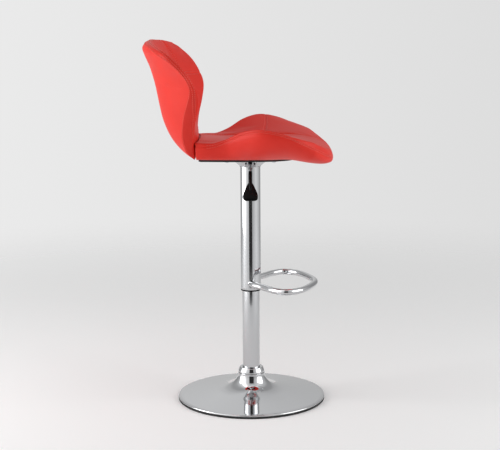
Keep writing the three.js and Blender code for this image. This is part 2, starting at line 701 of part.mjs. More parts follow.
// A closed pad: the face panel, the under panel and a border that runs from one's edge to the other's.
function pad({ face, under, border, us, vs, steps }) {
  const nu = us.length;
  const nv = vs.length;
  const points = [];
  const triangles = [];
  for (const side of [face, under]) for (const v of vs) for (const u of us) points.push(side(u, v));
  const at = (layer, i, j) => layer * nu * nv + j * nu + i;
  for (let j = 0; j < nv - 1; j++)
    for (let i = 0; i < nu - 1; i++) {
      const [a, b, c, d] = [at(0, i, j), at(0, i + 1, j), at(0, i + 1, j + 1), at(0, i, j + 1)];
      triangles.push(a, d, c, a, c, b);
      const [e, f, g, h] = [at(1, i, j), at(1, i + 1, j), at(1, i + 1, j + 1), at(1, i, j + 1)];
      triangles.push(e, g, h, e, f, g);
    }
  const edge = [];
  for (let i = 0; i < nu - 1; i++) edge.push([i, 0]);
  for (let j = 0; j < nv - 1; j++) edge.push([nu - 1, j]);
  for (let i = nu - 1; i > 0; i--) edge.push([i, nv - 1]);
  for (let j = nv - 1; j > 0; j--) edge.push([0, j]);
  const rings = [edge.map(([i, j]) => at(0, i, j))];
  for (let k = 1; k < steps; k++)
    rings.push(
      edge.map(([i, j]) => {
        points.push(border(points[at(0, i, j)], points[at(1, i, j)], k / steps));
        return points.length - 1;
      }),
    );
  rings.push(edge.map(([i, j]) => at(1, i, j)));
  for (let k = 0; k < steps; k++)
    edge.forEach((_, n) => {
      const next = (n + 1) % edge.length;
      const [a, b, c, d] = [rings[k][n], rings[k][next], rings[k + 1][next], rings[k + 1][n]];
      triangles.push(a, b, c, a, c, d);
    });
  const geometry = new THREE.BufferGeometry().setFromPoints(points);
  geometry.setIndex(triangles);
  geometry.computeVertexNormals();
  return geometry;
}

function bezier(a, b, c, d, t) {
  return new THREE.CubicBezierCurve3(a, b, c, d).getPoint(t);
}

// Seat pad. The side line climbs from the crease to the wing's crest and falls to the front corner.
const seatLength = seat.frontX - seat.rearX;
const seatRise = seat.crestZ - seat.midZ;
function seatPlace(lengthShare, widthShare, riseShare) {
  return [
    seat.rearX + lengthShare * seatLength,
    widthShare * seat.halfWidth,
    seat.midZ + riseShare * seatRise,
  ];
}
const seatSideShares = [
  [-0.027, 0.515, 0.04], [0.035, 0.54, 0.02], [0.107, 0.56, 0.05], [0.209, 0.61, 0.34],
  [0.322, 0.775, 0.805], [0.457, 0.935, 1.02], [0.591, 0.975, 0.85], [0.734, 0.93, 0.47],
  [0.853, 0.825, 0.21],
];
const seatMidShares = [
  [0, 0, 0.1], [0.09, 0, 0.05], [0.27, 0, 0], [0.475, 0, -0.02], [0.68, 0, -0.03], [0.83, 0, -0.115],
  [0.935, 0, -0.315], [1, 0, (seat.frontZ - seat.midZ) / seatRise],
];
const seatSide = lineThrough(seatSideShares.map((shares) => seatPlace(...shares)));
const seatMiddle = lineThrough(seatMidShares.map((shares) => seatPlace(...shares)));
const seatTop = panel(seatMiddle, seatSide, panelBow.seatAlong, panelBow.seatUp);

// The flat underside, where the board sits: the same kind of panel, level and smaller.
const baseLength = seatBase.frontX - seatBase.rearX;
function basePlace(lengthShare, widthShare) {
  return [seatBase.rearX + lengthShare * baseLength, widthShare * seatBase.halfY, seatUndersideZ];
}
const baseSideShares = [[-0.022, 0.9], [0.2, 0.96], [0.5, 1], [0.75, 0.94], [0.9, 0.74]];
const baseSide = lineThrough(baseSideShares.map((shares) => basePlace(...shares)));
const baseMiddle = lineThrough([0, 0.33, 0.67, 1].map((share) => basePlace(share, 0)));
const seatUnder = panel(baseMiddle, baseSide, panelBow.seatAlong, panelBow.under);

// Where the cross seam lies along the seat. It runs straight across, though the side lines lie further back.
function crossSeamAlong(place) {
  const { middleShare, sideShare, power } = crossSeam;
  return middleShare + (sideShare - middleShare) * Math.abs(place) ** power;
}

function seatFace(place, along) {
  const seamV = crossSeamAlong(place);
  const v = stretched(along, seamV);
  const seamU = seamSeatY / seatSide.getPoint(v).y;
  const u = stretched(place, seamU);
  const point = seatTop(u, v);
  point.z += quilting(u, v, seamU, seamV, seat.halfWidth, seatLength);
  return point;
}

function seatBottom(place, along) {
  return seatUnder(place, stretched(along, crossSeamAlong(place)));
}

function seatSkirt(from, to, t) {
  const out = new THREE.Vector3(from.x - to.x, from.y - to.y, 0);
  const reach = out.length();
  out.normalize();
  const lip = THREE.MathUtils.smoothstep(from.x, seatBorder.lipStartX, seat.frontX);
  const fall = from.z - to.z;
  const high = from.clone().addScaledVector(out, Math.min(seatBorder.bulge, seatBulgeShare * reach));
  high.z -= seatFallShare * fall + seatBorder.lipTuck * lip;
  const low = to.clone().addScaledVector(out, (seatUnderShare + lipUnderShare * lip) * reach);
  low.z -= seatBorder.lipDrop * lip;
  return bezier(from, high, low, to, t);
}

// Back pad. Its face and its rear cover each have a middle and a side line, from the crease to the top edge.
const backRise = back.topZ - back.creaseZ;
function backPlace(x, widthShare, riseShare) {
  return [x, widthShare * back.halfWidth, back.creaseZ + riseShare * backRise];
}
const backLean = back.topX - back.creaseX;
const backFaceMidShares = [
  [0, 0], [0.03, 0.09], [0.19, 0.213], [0.4, 0.357], [0.56, 0.506], [0.68, 0.647], [0.803, 0.807],
  [0.932, 0.936], [1, 1],
];
const backFaceSideShares = [
  [0.073, 0.448, 0], [0.06, 0.522, 0.075], [0.03, 0.612, 0.197], [-0.042, 0.733, 0.345],
  [-0.075, 0.875, 0.506], [0.027, 0.966, 0.627], [0.217, 1, 0.767], [0.47, 0.966, 0.884],
  [0.641, 0.884, 0.945],
];
const backRearMidShares = [
  [0.064, -0.185], [0.225, -0.157], [0.385, -0.1], [0.585, 0.012], [0.765, 0.193], [0.842, 0.345],
  [0.93, 0.562], [1.04, 0.743], [1.155, 0.867], [1.2, 0.936], [1.154, 0.98],
];
const backRearSideShares = [
  [0.085, 0.42, -0.177], [0.225, 0.483, -0.084], [0.28, 0.582, 0.076], [0.24, 0.69, 0.225],
  [0.16, 0.82, 0.386], [0.115, 0.922, 0.518], [0.17, 1, 0.639], [0.325, 1.026, 0.743],
  [0.575, 0.983, 0.847], [0.77, 0.884, 0.896],
];
function backLine(shares) {
  return lineThrough(
    shares.map((row) => {
      const [leanShare, widthShare, riseShare] = row.length === 3 ? row : [row[0], 0, row[1]];
      return backPlace(back.creaseX + leanShare * backLean, widthShare, riseShare);
    }),
  );
}
const backFront = backPanel(backFaceMidShares, backFaceSideShares);
const backRear = backPanel(backRearMidShares, backRearSideShares);

function backPanel(midShares, sideShares) {
  return panel(backLine(midShares), backLine(sideShares), panelBow.backAlong, panelBow.backUp);
}

function backFace(place, v) {
  const u = stretched(place, seamBackShare);
  const point = backFront(u, v);
  point.x += quilting(u, v, seamBackShare, seamBackAlongShare, back.halfWidth, backRise);
  return point;
}

function backBorder(from, to, t) {
  const rise = THREE.MathUtils.smoothstep(from.z, back.creaseZ, back.creaseZ + backBulgeRiseShare * backRise);
  const overTop = Math.max(from.z - back.creaseZ - backTopShare * backRise, 0);
  const out = new THREE.Vector3(0, from.y, backTipShare * overTop);
  out.normalize().multiplyScalar(backBulgeShare * from.distanceTo(to) * rise);
  const thickness = new THREE.Vector3().subVectors(to, from);
  const high = from.clone().addScaledVector(thickness, borderHandleShare).add(out);
  const low = to.clone().addScaledVector(thickness, -borderHandleShare).add(out);
  return bezier(from, high, low, to, t);
}

// The spine: flat steel from on top of the seat board, up through the crease and into the back pad.
const spineZ = boardHighZ + fit + spine.thickness / 2;
const screwHeadZ = spineZ + spine.thickness / 2 + fit;
function spineLine(extraEnds) {
  const start = new THREE.Vector2(spine.frontX + extraEnds, spineZ);
  const elbowPoint = new THREE.Vector2(spine.elbowX, spineZ);
  const bend = new THREE.Vector2(spineBend.x, spineBend.z);
  const end = new THREE.Vector2(spine.topX, spine.topZ);
  const up = new THREE.Vector2().subVectors(end, bend).normalize();
  end.addScaledVector(up, extraEnds);
  return [
    start,
    ...bendPoints(start, elbowPoint, bend, spine.bendRadius, 6),
    ...bendPoints(elbowPoint, bend, end, spineBend.radius, 3),
    end,
  ];
}

// A bar standing at one of the two spine screws.
function screwPost(radius, lowZ, highZ, y) {
  return bar(radius, lowZ, highZ, spineScrew.x, y, 14);
}

function spineScrewBody(y) {
  const head = screwPost(spineScrew.headRadius, screwHeadZ, screwHeadZ + spineScrew.headHeight, y);
  const shank = screwPost(spineScrew.shankRadius, screwHeadZ - spineScrew.length, screwHeadZ, y);
  return join(head, shank);
}

const screwYs = [-spineScrew.y, spineScrew.y];
const screwHole = spineScrew.shankRadius + fit;
function backSpine() {
  const blank = strip(spineLine(0), spine.thickness, spine.halfY);
  return cut(blank, ...screwYs.map((y) => screwPost(screwHole, boardHighZ, screwHeadZ + overrun, y)));
}
add("back_spine", backSpine(), darkSteel);
add("spine_screw_right", spineScrewBody(screwYs[0]), zinc);
add("spine_screw_left", spineScrewBody(screwYs[1]), zinc);

// The seat board, a plywood oval let into the pad's underside, and the lining stapled under it.
function outlineOf(surface, inset, count) {
  const loop = [];
  for (let i = 0; i < count; i++) loop.push(surface(1 - (2 * i) / count, 0));
  for (let i = 0; i < count; i++) loop.push(surface(-1, i / count));
  for (let i = 0; i < count; i++) loop.push(surface(-1 + (2 * i) / count, 1));
  for (let i = 0; i < count; i++) loop.push(surface(1, 1 - i / count));
  const middleX = (seatBase.rearX + seatBase.frontX) / 2;
  const shareX = 1 - inset / (baseLength / 2);
  const shareY = 1 - inset / seatBase.halfY;
  const pulledIn = loop.map((p) => new THREE.Vector2(middleX + (p.x - middleX) * shareX, p.y * shareY));
  return new THREE.Shape(pulledIn);
}

const boltSigns = [[-1, -1], [-1, 1], [1, -1], [1, 1]];
const boltPlaces = boltSigns.map(([sx, sy]) => [sx * seatPlate.boltX, sy * seatPlate.boltY]);
function seatBoard() {
  const shape = outlineOf(seatUnder, board.inset, 9);
  for (const [x, y] of boltPlaces) shape.holes.push(hole(x, y, board.holeRadius));
  const holes = screwYs.map((y) => screwPost(screwHole, boardLowZ - overrun, boardHighZ + overrun, y));
  return cut(plate(shape, boardLowZ, boardHighZ), ...holes);
}
add("seat_board", seatBoard(), plywood);

function bottomLining() {
  const shape = outlineOf(seatUnder, board.inset + lining.inset, 9);
  const { halfX, halfY, corner } = seatPlate;
  const window = roundedRectangle(halfX + lining.window, halfY + lining.window, corner);
  shape.holes.push(new THREE.Path(window.reverse()));
  return plate(shape, boardLowZ - fit - lining.thickness, boardLowZ - fit);
}
add("bottom_lining", bottomLining(), blackFelt);

function platePressing() {
  const shape = new THREE.Shape(roundedRectangle(seatPlate.halfX, seatPlate.halfY, seatPlate.corner));
  for (const [x, y] of boltPlaces) shape.holes.push(hole(x, y, seatPlate.boltHole));
  return plate(shape, plateLowZ, plateHighZ);
}
add("seat_plate", platePressing(), darkSteel);

// Each bolt passes up through the plate and the board into a T-nut that sits on top of the board.
function boltBody() {
  const headHighZ = plateLowZ - fit;
  const topZ = boardHighZ + fit + tNut.flangeThickness;
  return turned(
    [
      [0, headHighZ - plateBolt.headHeight],
      [plateBolt.headRadius, headHighZ - plateBolt.headHeight],
      [plateBolt.headRadius, headHighZ],
      [plateBolt.shankRadius, headHighZ],
      [plateBolt.shankRadius, topZ],
      [0, topZ],
    ],
    10,
  );
}

function tNutBody() {
  const flangeLowZ = boardHighZ + fit;
  const flangeHighZ = flangeLowZ + tNut.flangeThickness;
  const barrelLowZ = boardHighZ - board.thickness / 2;
  return turned(
    [
      [tNut.bore, barrelLowZ],
      [tNut.barrelRadius, barrelLowZ],
      [tNut.barrelRadius, flangeLowZ],
      [tNut.flangeRadius, flangeLowZ],
      [tNut.flangeRadius, flangeHighZ],
      [tNut.bore, flangeHighZ],
    ],
    10,
  );
}
boltPlaces.forEach(([x, y], i) => {
  add("plate_bolt_" + (i + 1), boltBody().translate(x, y, 0), zinc);
  add("t_nut_" + (i + 1), tNutBody().translate(x, y, 0), zinc);
});

// What is cut out of the pads for the pieces buried in them.
function spinePocket() {
  return strip(spineLine(softGap), spine.thickness + 2 * softGap, spine.halfY + softGap);
}

function seatPad() {
  const body = pad({
    face: seatFace,
    under: seatBottom,
    border: seatSkirt,
    us: gridPlaces([-seamGridShare, seamGridShare], -1, 1, seat.halfWidth, 14),
    vs: gridPlaces([seamGridShare], 0, 1, seatLength, 15),
    steps: 5,
  });
  const recessOutline = outlineOf(seatUnder, board.inset - softGap, 9);
  const recess = plate(recessOutline, seatUndersideZ - overrun, boardHighZ + fit);
  const nutRadius = tNut.flangeRadius + softGap;
  const nutPocketZ = boardHighZ + tNut.flangeThickness + 2 * softGap;
  const nutPockets = boltPlaces.map(([x, y]) => bar(nutRadius, boardHighZ - softGap, nutPocketZ, x, y, 16));
  const screwRadius = spineScrew.headRadius + softGap;
  const screwPocketZ = screwHeadZ + spineScrew.headHeight + softGap;
  const screwPockets = screwYs.map((y) => screwPost(screwRadius, spineZ, screwPocketZ, y));
  return cut(body, recess, spinePocket(), ...nutPockets, ...screwPockets);
}
add("seat_pad", seatPad(), upholstery);

function backPad() {
  const body = pad({
    face: (u, v) => backFace(-u, v),
    under: (u, v) => backRear(-u, v),
    border: backBorder,
    us: gridPlaces([-seamGridShare, seamGridShare], -1, 1, back.halfWidth, 14),
    vs: gridPlaces([seamBackAlongShare], 0, 1, backRise, 15),
    steps: 4,
  });
  return cut(body, spinePocket());
}
add("back_pad", backPad(), upholstery);

export default stool;
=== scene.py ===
# A diner counter stool: red leatherette pads on a chrome gas-lift column with a trumpet foot.
# Metres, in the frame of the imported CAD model: the column's axis is Z and the sitter faces +X.
import math
import bpy
import numpy as np
from mathutils import Matrix


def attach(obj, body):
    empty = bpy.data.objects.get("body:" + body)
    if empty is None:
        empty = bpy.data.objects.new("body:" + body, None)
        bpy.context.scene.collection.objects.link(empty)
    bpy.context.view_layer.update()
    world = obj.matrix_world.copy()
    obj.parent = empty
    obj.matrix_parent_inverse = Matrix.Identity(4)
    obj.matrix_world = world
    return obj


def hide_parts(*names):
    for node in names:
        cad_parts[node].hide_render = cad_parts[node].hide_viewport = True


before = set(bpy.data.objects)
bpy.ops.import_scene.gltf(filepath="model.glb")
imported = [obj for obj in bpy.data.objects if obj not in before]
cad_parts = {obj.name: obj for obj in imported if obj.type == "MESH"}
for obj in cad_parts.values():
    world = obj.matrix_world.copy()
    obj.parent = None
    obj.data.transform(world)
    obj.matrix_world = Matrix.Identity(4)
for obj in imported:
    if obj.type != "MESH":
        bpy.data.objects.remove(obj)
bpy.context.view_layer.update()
scene = bpy.context.scene
scene.view_settings.view_transform = "Standard"

# Camera
# The photograph's own place: in front of the stool's right side, 3.6 m off, a little above the back's top
# and looking down at it. The lens and the small shifts were fitted to the foot's ellipse and the column.
camera_data = bpy.data.cameras.new("photograph")
camera = bpy.data.objects.new("photograph", camera_data)
scene.collection.objects.link(camera)
camera_data.sensor_width = 36.0
camera_data.lens = 1411.0 * 36.0 / 500.0
camera_data.shift_x = -0.57 / 500.0
camera_data.clip_end = 60.0
tilt = Matrix.Rotation(math.radians(90.0 - 10.348), 4, "X") @ Matrix.Rotation(math.radians(-0.33), 4, "Z")
camera.matrix_world = Matrix.Translation((0.0, -3.6, 1.1194)) @ tilt
scene.camera = camera


def linear(hex_colour):
    """An sRGB hex colour as linear red, green, blue and an alpha of one."""
    channels = [int(hex_colour[i:i + 2], 16) / 255.0 for i in (1, 3, 5)]
    return tuple(c / 12.92 if c <= 0.04045 else ((c + 0.055) / 1.055) ** 2.4 for c in channels) + (1.0,)


def node(material, kind, inputs=None, **settings):
    """One shader node, with its settings as attributes and its inputs as values or as links from other sockets."""
    made = material.node_tree.nodes.new(kind)
    for name, value in settings.items():
        setattr(made, name, value)
    for name, value in (inputs or {}).items():
        if isinstance(value, bpy.types.NodeSocket):
            material.node_tree.links.new(value, made.inputs[name])
        else:
            made.inputs[name].default_value = value
    return made


def empty_material(name):
    """A material with only its output node."""
    material = bpy.data.materials.new(name)
    material.use_nodes = True
    material.node_tree.nodes.clear()
    return material


def finish_material(material, shader):
    """Joins a shader to the material's output."""
    node(material, "ShaderNodeOutputMaterial", {"Surface": shader.outputs[0]})
    return material


# Studio
# A pale floor that fades into a pale surround, a tall soft light on the left that the column shows as its white
# band, weaker ones on the right and overhead, and a dark card in front that shows only in reflections, a painted
# dark reflection. In reflections only, the surround is painted lighter and darker by bands, with a painted bright
# band on the left in the column's white band; these painted reflections light nothing.
def surface_mesh(name, points, wrap_u=False, wrap_v=False, capped=False):
    """A mesh from a grid of points, rows by columns by three. A wrapped direction joins its last line to its first,
    and caps close the first and the last row with a fan of triangles round their middle."""
    rows, columns = points.shape[:2]
    j = np.arange(rows if wrap_v else rows - 1)[:, None]
    i = np.arange(columns if wrap_u else columns - 1)[None, :]
    a, b = j * columns + i, j * columns + (i + 1) % columns
    c, d = ((j + 1) % rows) * columns + (i + 1) % columns, ((j + 1) % rows) * columns + i
    faces = np.stack([a, b, c, d], axis=-1).reshape(-1, 4).tolist()
    flat = points.reshape(-1, 3)
    if capped:
        flat = np.vstack([flat, points[0].mean(axis=0), points[-1].mean(axis=0)])
        i, last, pole = np.arange(columns), (rows - 1) * columns, rows * columns
        around = (i + 1) % columns
        faces += np.stack([around, i, np.full(columns, pole)], axis=-1).tolist()
        faces += np.stack([last + i, last + around, np.full(columns, pole + 1)], axis=-1).tolist()
    return mesh_object(name, flat, faces)


def mesh_object(name, points, faces):
    """A smooth-shaded mesh object at the origin from an array of points and a list of faces."""
    mesh = bpy.data.meshes.new(name)
    mesh.from_pydata(points.tolist(), [], faces)
    mesh.polygons.foreach_set("use_smooth", np.ones(len(mesh.polygons), bool))
    mesh.update()
    made = bpy.data.objects.new(name, mesh)
    scene.collection.objects.link(made)
    return made


floor_radius = np.concatenate([[0.01], np.linspace(0.25, 10.0, 40)])
floor_turn = np.linspace(0.0, 2.0 * np.pi, 64, endpoint=False)
floor = surface_mesh("floor", np.stack([
    floor_radius[:, None] * np.cos(floor_turn),
    floor_radius[:, None] * np.sin(floor_turn),
    np.full((len(floor_radius), len(floor_turn)), -0.0002),
], axis=-1), wrap_u=True)


def seen_directly(material):
    """One for rays from the camera and for mirrored or refracted ones, nothing for the light that falls on things."""
    path = node(material, "ShaderNodeLightPath")
    either = node(material, "ShaderNodeMath", {0: path.outputs["Is Camera Ray"], 1: path.outputs["Is Glossy Ray"]},
                  operation="MAXIMUM")
    return node(material, "ShaderNodeMath", {0: either.outputs[0], 1: path.outputs["Is Transmission Ray"]},
                operation="MAXIMUM")


paper = empty_material("floor_paper")
paper_place = node(paper, "ShaderNodeTexCoord")
paper_distance = node(paper, "ShaderNodeVectorMath", {0: paper_place.outputs["Object"]}, operation="LENGTH")
paper_fade = node(paper, "ShaderNodeMapRange",
                  {"Value": paper_distance.outputs["Value"], "From Min": 0.6, "From Max": 2.8},
                  interpolation_type="SMOOTHSTEP")
paper_seen = node(paper, "ShaderNodeMath",
                  {0: paper_fade.outputs["Result"], 1: seen_directly(paper).outputs[0]}, operation="MULTIPLY")
paper_lit = node(paper, "ShaderNodeBsdfDiffuse", {"Color": linear("#FCFCFC")})
finish_material(paper, node(paper, "ShaderNodeMixShader", {
    0: paper_seen.outputs[0], 1: paper_lit.outputs[0], 2: node(paper, "ShaderNodeBsdfTransparent").outputs[0]}))
floor.data.materials.append(paper)

world = bpy.data.worlds.new("studio")
scene.world = world
world.use_nodes = True
world.node_tree.nodes.clear()
direction = node(world, "ShaderNodeSeparateXYZ", {"Vector": node(world, "ShaderNodeTexCoord").outputs["Generated"]})
sideways = node(world, "ShaderNodeMapRange",
                {"Value": direction.outputs["X"], "From Min": -0.2, "From Max": 0.25, "To Min": 0.83, "To Max": 0.71})


def greys(material, value, stops):
    """A value read off a smooth ramp through pairs of place and level, from 0 to 1."""
    made = node(material, "ShaderNodeValToRGB", {"Fac": value})
    made.color_ramp.interpolation = "EASE"
    elements = made.color_ramp.elements
    elements[0].position, elements[1].position = stops[0][0], stops[-1][0]
    elements[0].color = (stops[0][1],) * 3 + (1.0,)
    elements[1].color = (stops[-1][1],) * 3 + (1.0,)
    for place, level in stops[1:-1]:
        elements.new(place).color = (level,) * 3 + (1.0,)
    return made


turn_round = node(world, "ShaderNodeMath", {
    0: direction.outputs["X"],
    1: node(world, "ShaderNodeMath", {0: direction.outputs["Y"], 1: -1.0}, operation="MULTIPLY").outputs[0]},
    operation="ARCTAN2")
turn_share = node(world, "ShaderNodeMapRange",
                  {"Value": turn_round.outputs[0], "From Min": -math.pi, "From Max": math.pi}).outputs["Result"]
# Painted reflection: the surround that mirrored rays see, lighter and darker by bands; it lights nothing.
bands = greys(world, turn_share, [((degrees + 180.0) / 360.0, level / 2.0) for degrees, level in (
    (-180, 0.77), (-172, 0.8), (-162, 0.62), (-148, 0.46), (-130, 0.5), (-115, 0.66), (-96, 0.96), (-80, 1.12),
    (-56, 1.12), (-41, 1.0), (-29, 0.93), (-17, 0.7), (0, 0.6), (28, 0.62), (40, 0.79), (52, 0.87), (65, 1.05),
    (79, 0.94), (94, 0.84), (112, 0.65), (137, 0.42), (152, 0.42), (164, 0.58), (172, 0.68), (180, 0.75))])
# Painted reflection: a bright band on the left, seen only in mirrored rays, which adds to the left light's white band
# on the column.
left_band = greys(world, turn_share, [((degrees + 180.0) / 360.0, level) for degrees, level in (
    (-180, 0.0), (-92, 0.0), (-79, 1.0), (-56, 1.0), (-46, 0.2), (-36, 0.0), (180, 0.0))])
left_high = node(world, "ShaderNodeMapRange", {"Value": direction.outputs["Z"], "From Min": -0.205,
                                               "From Max": -0.172, "To Min": 0.0, "To Max": 0.9})
left_painted_reflection_band = node(world, "ShaderNodeMath", {0: left_band.outputs["Color"], 1: left_high.outputs["Result"]},
                 operation="MULTIPLY")
banded = node(world, "ShaderNodeMath", {0: bands.outputs["Color"], 1: 2.0, 2: left_painted_reflection_band.outputs[0]},
              operation="MULTIPLY_ADD")
horizon = node(world, "ShaderNodeMapRange", {"Value": direction.outputs["Z"], "From Min": -0.12, "From Max": -0.02,
                                             "To Min": 1.0, "To Max": 0.82})
higher = node(world, "ShaderNodeMapRange", {"Value": direction.outputs["Z"], "From Min": 0.05, "From Max": 0.45,
                                            "To Min": 0.0, "To Max": 0.23})
rising = node(world, "ShaderNodeMath", {0: horizon.outputs["Result"], 1: higher.outputs["Result"]}, operation="ADD")
painted_reflected_surround = node(world, "ShaderNodeMath", {0: banded.outputs[0], 1: rising.outputs[0]}, operation="MULTIPLY")
surround = node(world, "ShaderNodeMix", {
    "Factor": node(world, "ShaderNodeLightPath").outputs["Is Glossy Ray"], "A": sideways.outputs["Result"],
    "B": painted_reflected_surround.outputs[0]})
shown = node(world, "ShaderNodeBackground", {"Color": (1.0, 1.0, 1.0, 1.0), "Strength": surround.outputs[0]})
light = node(world, "ShaderNodeBackground", {"Color": (1.0, 1.0, 1.0, 1.0), "Strength": 0.43})
node(world, "ShaderNodeOutputWorld", {"Surface": node(world, "ShaderNodeMixShader", {
    0: seen_directly(world).outputs[0], 1: light.outputs[0], 2: shown.outputs[0]}).outputs[0]})


def softbox(name, place, aim, width, height, power):
    """An area light of a given size at a place, turned to face a point."""
    data = bpy.data.lights.new(name, "AREA")
    data.shape = "RECTANGLE"
    data.size = width
    data.size_y = height
    data.energy = power
    lamp = bpy.data.objects.new(name, data)
    scene.collection.objects.link(lamp)
    direction = np.array(aim, float) - np.array(place, float)
    turn = math.atan2(direction[1], direction[0])
    tip = math.atan2(direction[2], math.hypot(direction[0], direction[1]))
    lamp.matrix_world = (Matrix.Translation(place) @ Matrix.Rotation(turn, 4, "Z")
                         @ Matrix.Rotation(-tip, 4, "Y") @ Matrix.Rotation(math.radians(-90.0), 4, "Y")
                         @ Matrix.Rotation(math.radians(90.0), 4, "Z"))
    return lamp


softbox("left_softbox", (-2.25, -0.35, 1.03), (0.0, 0.0, 1.03), 1.4, 2.0, 44.0)
softbox("right_softbox", (3.0, -1.0, 1.6), (0.0, 0.0, 1.0), 2.6, 2.3, 58.0)
softbox("overhead_softbox", (0.3, -0.5, 2.8), (0.0, 0.0, 0.6), 1.6, 1.6, 2.0)

# Painted dark reflection: a dark card seen only in reflections, where it darkens the chrome; the camera, the light on
# things and shadows pass through it.
card = surface_mesh("dark_card", np.array([[[-0.42, -1.3, 0.0], [0.45, -1.3, 0.0]],
                                           [[-0.42, -1.3, 1.6], [0.45, -1.3, 1.6]]]))
card.visible_camera = False
card.visible_diffuse = False
card.visible_shadow = False
# The card's painted dark reflection, partly clear at its foot.
card_painted_reflection = empty_material("dark_card_painted_reflection")
card_painted_reflection_place = node(card_painted_reflection, "ShaderNodeSeparateXYZ", {"Vector": node(card_painted_reflection, "ShaderNodeTexCoord").outputs["Object"]})
card_painted_reflection_rise = node(card_painted_reflection, "ShaderNodeMapRange",
                 {"Value": card_painted_reflection_place.outputs["Z"], "From Min": -0.12, "From Max": 0.08, "To Max": 0.95})
finish_material(card_painted_reflection, node(card_painted_reflection, "ShaderNodeMixShader", {
    0: card_painted_reflection_rise.outputs["Result"], 1: node(card_painted_reflection, "ShaderNodeBsdfTransparent").outputs[0],
    2: node(card_painted_reflection, "ShaderNodeBsdfDiffuse", {"Color": linear("#1E1E1E")}).outputs[0]}))
card.data.materials.append(card_painted_reflection)

# Chrome
# Bright chrome plate on polished steel tube and spun sheet: nearly a mirror, with the faint unevenness of
# polishing, so that reflections waver a little.
def chrome_plate():
    """Chrome plate: a mirror metal, slightly cool, with a low ripple 30 mm across from polishing."""
    material = empty_material("chrome_plate")
    where = node(material, "ShaderNodeTexCoord")
    ripple = node(material, "ShaderNodeTexNoise",
                  {"Vector": where.outputs["Object"], "Scale": 1.0 / 0.03, "Detail": 1.0, "Roughness": 0.4})
    bump = node(material, "ShaderNodeBump",
                {"Height": ripple.outputs["Fac"], "Strength": 0.02, "Distance": 0.001})
    smear = node(material, "ShaderNodeTexNoise",
                 {"Vector": where.outputs["Object"], "Scale": 1.0 / 0.06, "Detail": 4.0, "Roughness": 0.6})
    rough = node(material, "ShaderNodeMapRange",
                 {"Value": smear.outputs["Fac"], "From Min": 0.3, "From Max": 0.7, "To Min": 0.05, "To Max": 0.09})
    shader = node(material, "ShaderNodeBsdfPrincipled",
                  {"Base Color": linear("#C6C7C9"), "Metallic": 1.0, "Roughness": rough.outputs["Result"],
                   "Normal": bump.outputs["Normal"]})
    return finish_material(material, shader)


chrome = chrome_plate()


# Foot
# A disc of 2 mm steel spun to a trumpet, chrome plated. Its rolled rim stands on a rubber ring and a trim collar
# covers its neck where the column enters.
def turned(name, profile, body, material, slot, *replaced, sides=192):
    """A piece turned about the column: a closed profile of radius and height, carried once round the axis."""
    radius, height = np.array(profile, float).T
    angle = np.linspace(0.0, 2.0 * np.pi, sides, endpoint=False)
    points = np.stack([
        radius[:, None] * np.cos(angle),
        radius[:, None] * np.sin(angle),
        np.broadcast_to(height[:, None], (len(radius), sides)),
    ], axis=-1)
    made = surface_mesh(name, points, wrap_u=True, wrap_v=True)
    return dress(made, body, material, slot, *replaced)


def dress(made, body, material, slot, *replaced):
    """Gives a piece its material and its body, and hides the CAD nodes that it stands for. Its slot is not used."""
    made.data.materials.append(material)
    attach(made, body)
    if replaced:
        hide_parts(*replaced)
    return made


def rounded(corners, radii, steps=5):
    """A closed profile whose corners are rounded: each corner becomes a quadratic arc between its two sides."""
    corners = np.array(corners, float)
    before, after = np.roll(corners, 1, axis=0), np.roll(corners, -1, axis=0)
    radii = np.array(radii, float)[:, None]
    unit_before = (before - corners) / np.linalg.norm(before - corners, axis=1, keepdims=True)
    unit_after = (after - corners) / np.linalg.norm(after - corners, axis=1, keepdims=True)
    start, end = corners + unit_before * radii, corners + unit_after * radii
    t = np.linspace(0.0, 1.0, steps)[None, :, None]
    arcs = (1 - t) ** 2 * start[:, None] + 2 * t * (1 - t) * corners[:, None] + t ** 2 * end[:, None]
    return arcs.reshape(-1, 2)


def spline(points, places):
    """A centripetal Catmull-Rom line through points, read at places from 0 to 1 counted in points."""
    points = np.array(points, float)
    padded = np.vstack([2 * points[0] - points[1], points, 2 * points[-1] - points[-2]])
    scaled = np.clip(np.asarray(places, float), 0.0, 1.0) * (len(points) - 1)
    first = np.minimum(scaled.astype(int), len(points) - 2)
    w = (scaled - first)[..., None]
    p0, p1, p2, p3 = (padded[first + k] for k in range(4))
    d0, d1, d2 = (np.sqrt(np.linalg.norm(b - a, axis=-1, keepdims=True)) for a, b in ((p0, p1), (p1, p2), (p2, p3)))
    leave = ((p1 - p0) / d0 - (p2 - p0) / (d0 + d1) + (p2 - p1) / d1) * d1
    reach = ((p2 - p1) / d1 - (p3 - p1) / (d1 + d2) + (p3 - p2) / d2) * d1
    return p1 + leave * w + (-3 * p1 + 3 * p2 - 2 * leave - reach) * w ** 2 + (2 * p1 - 2 * p2 + leave + reach) * w ** 3


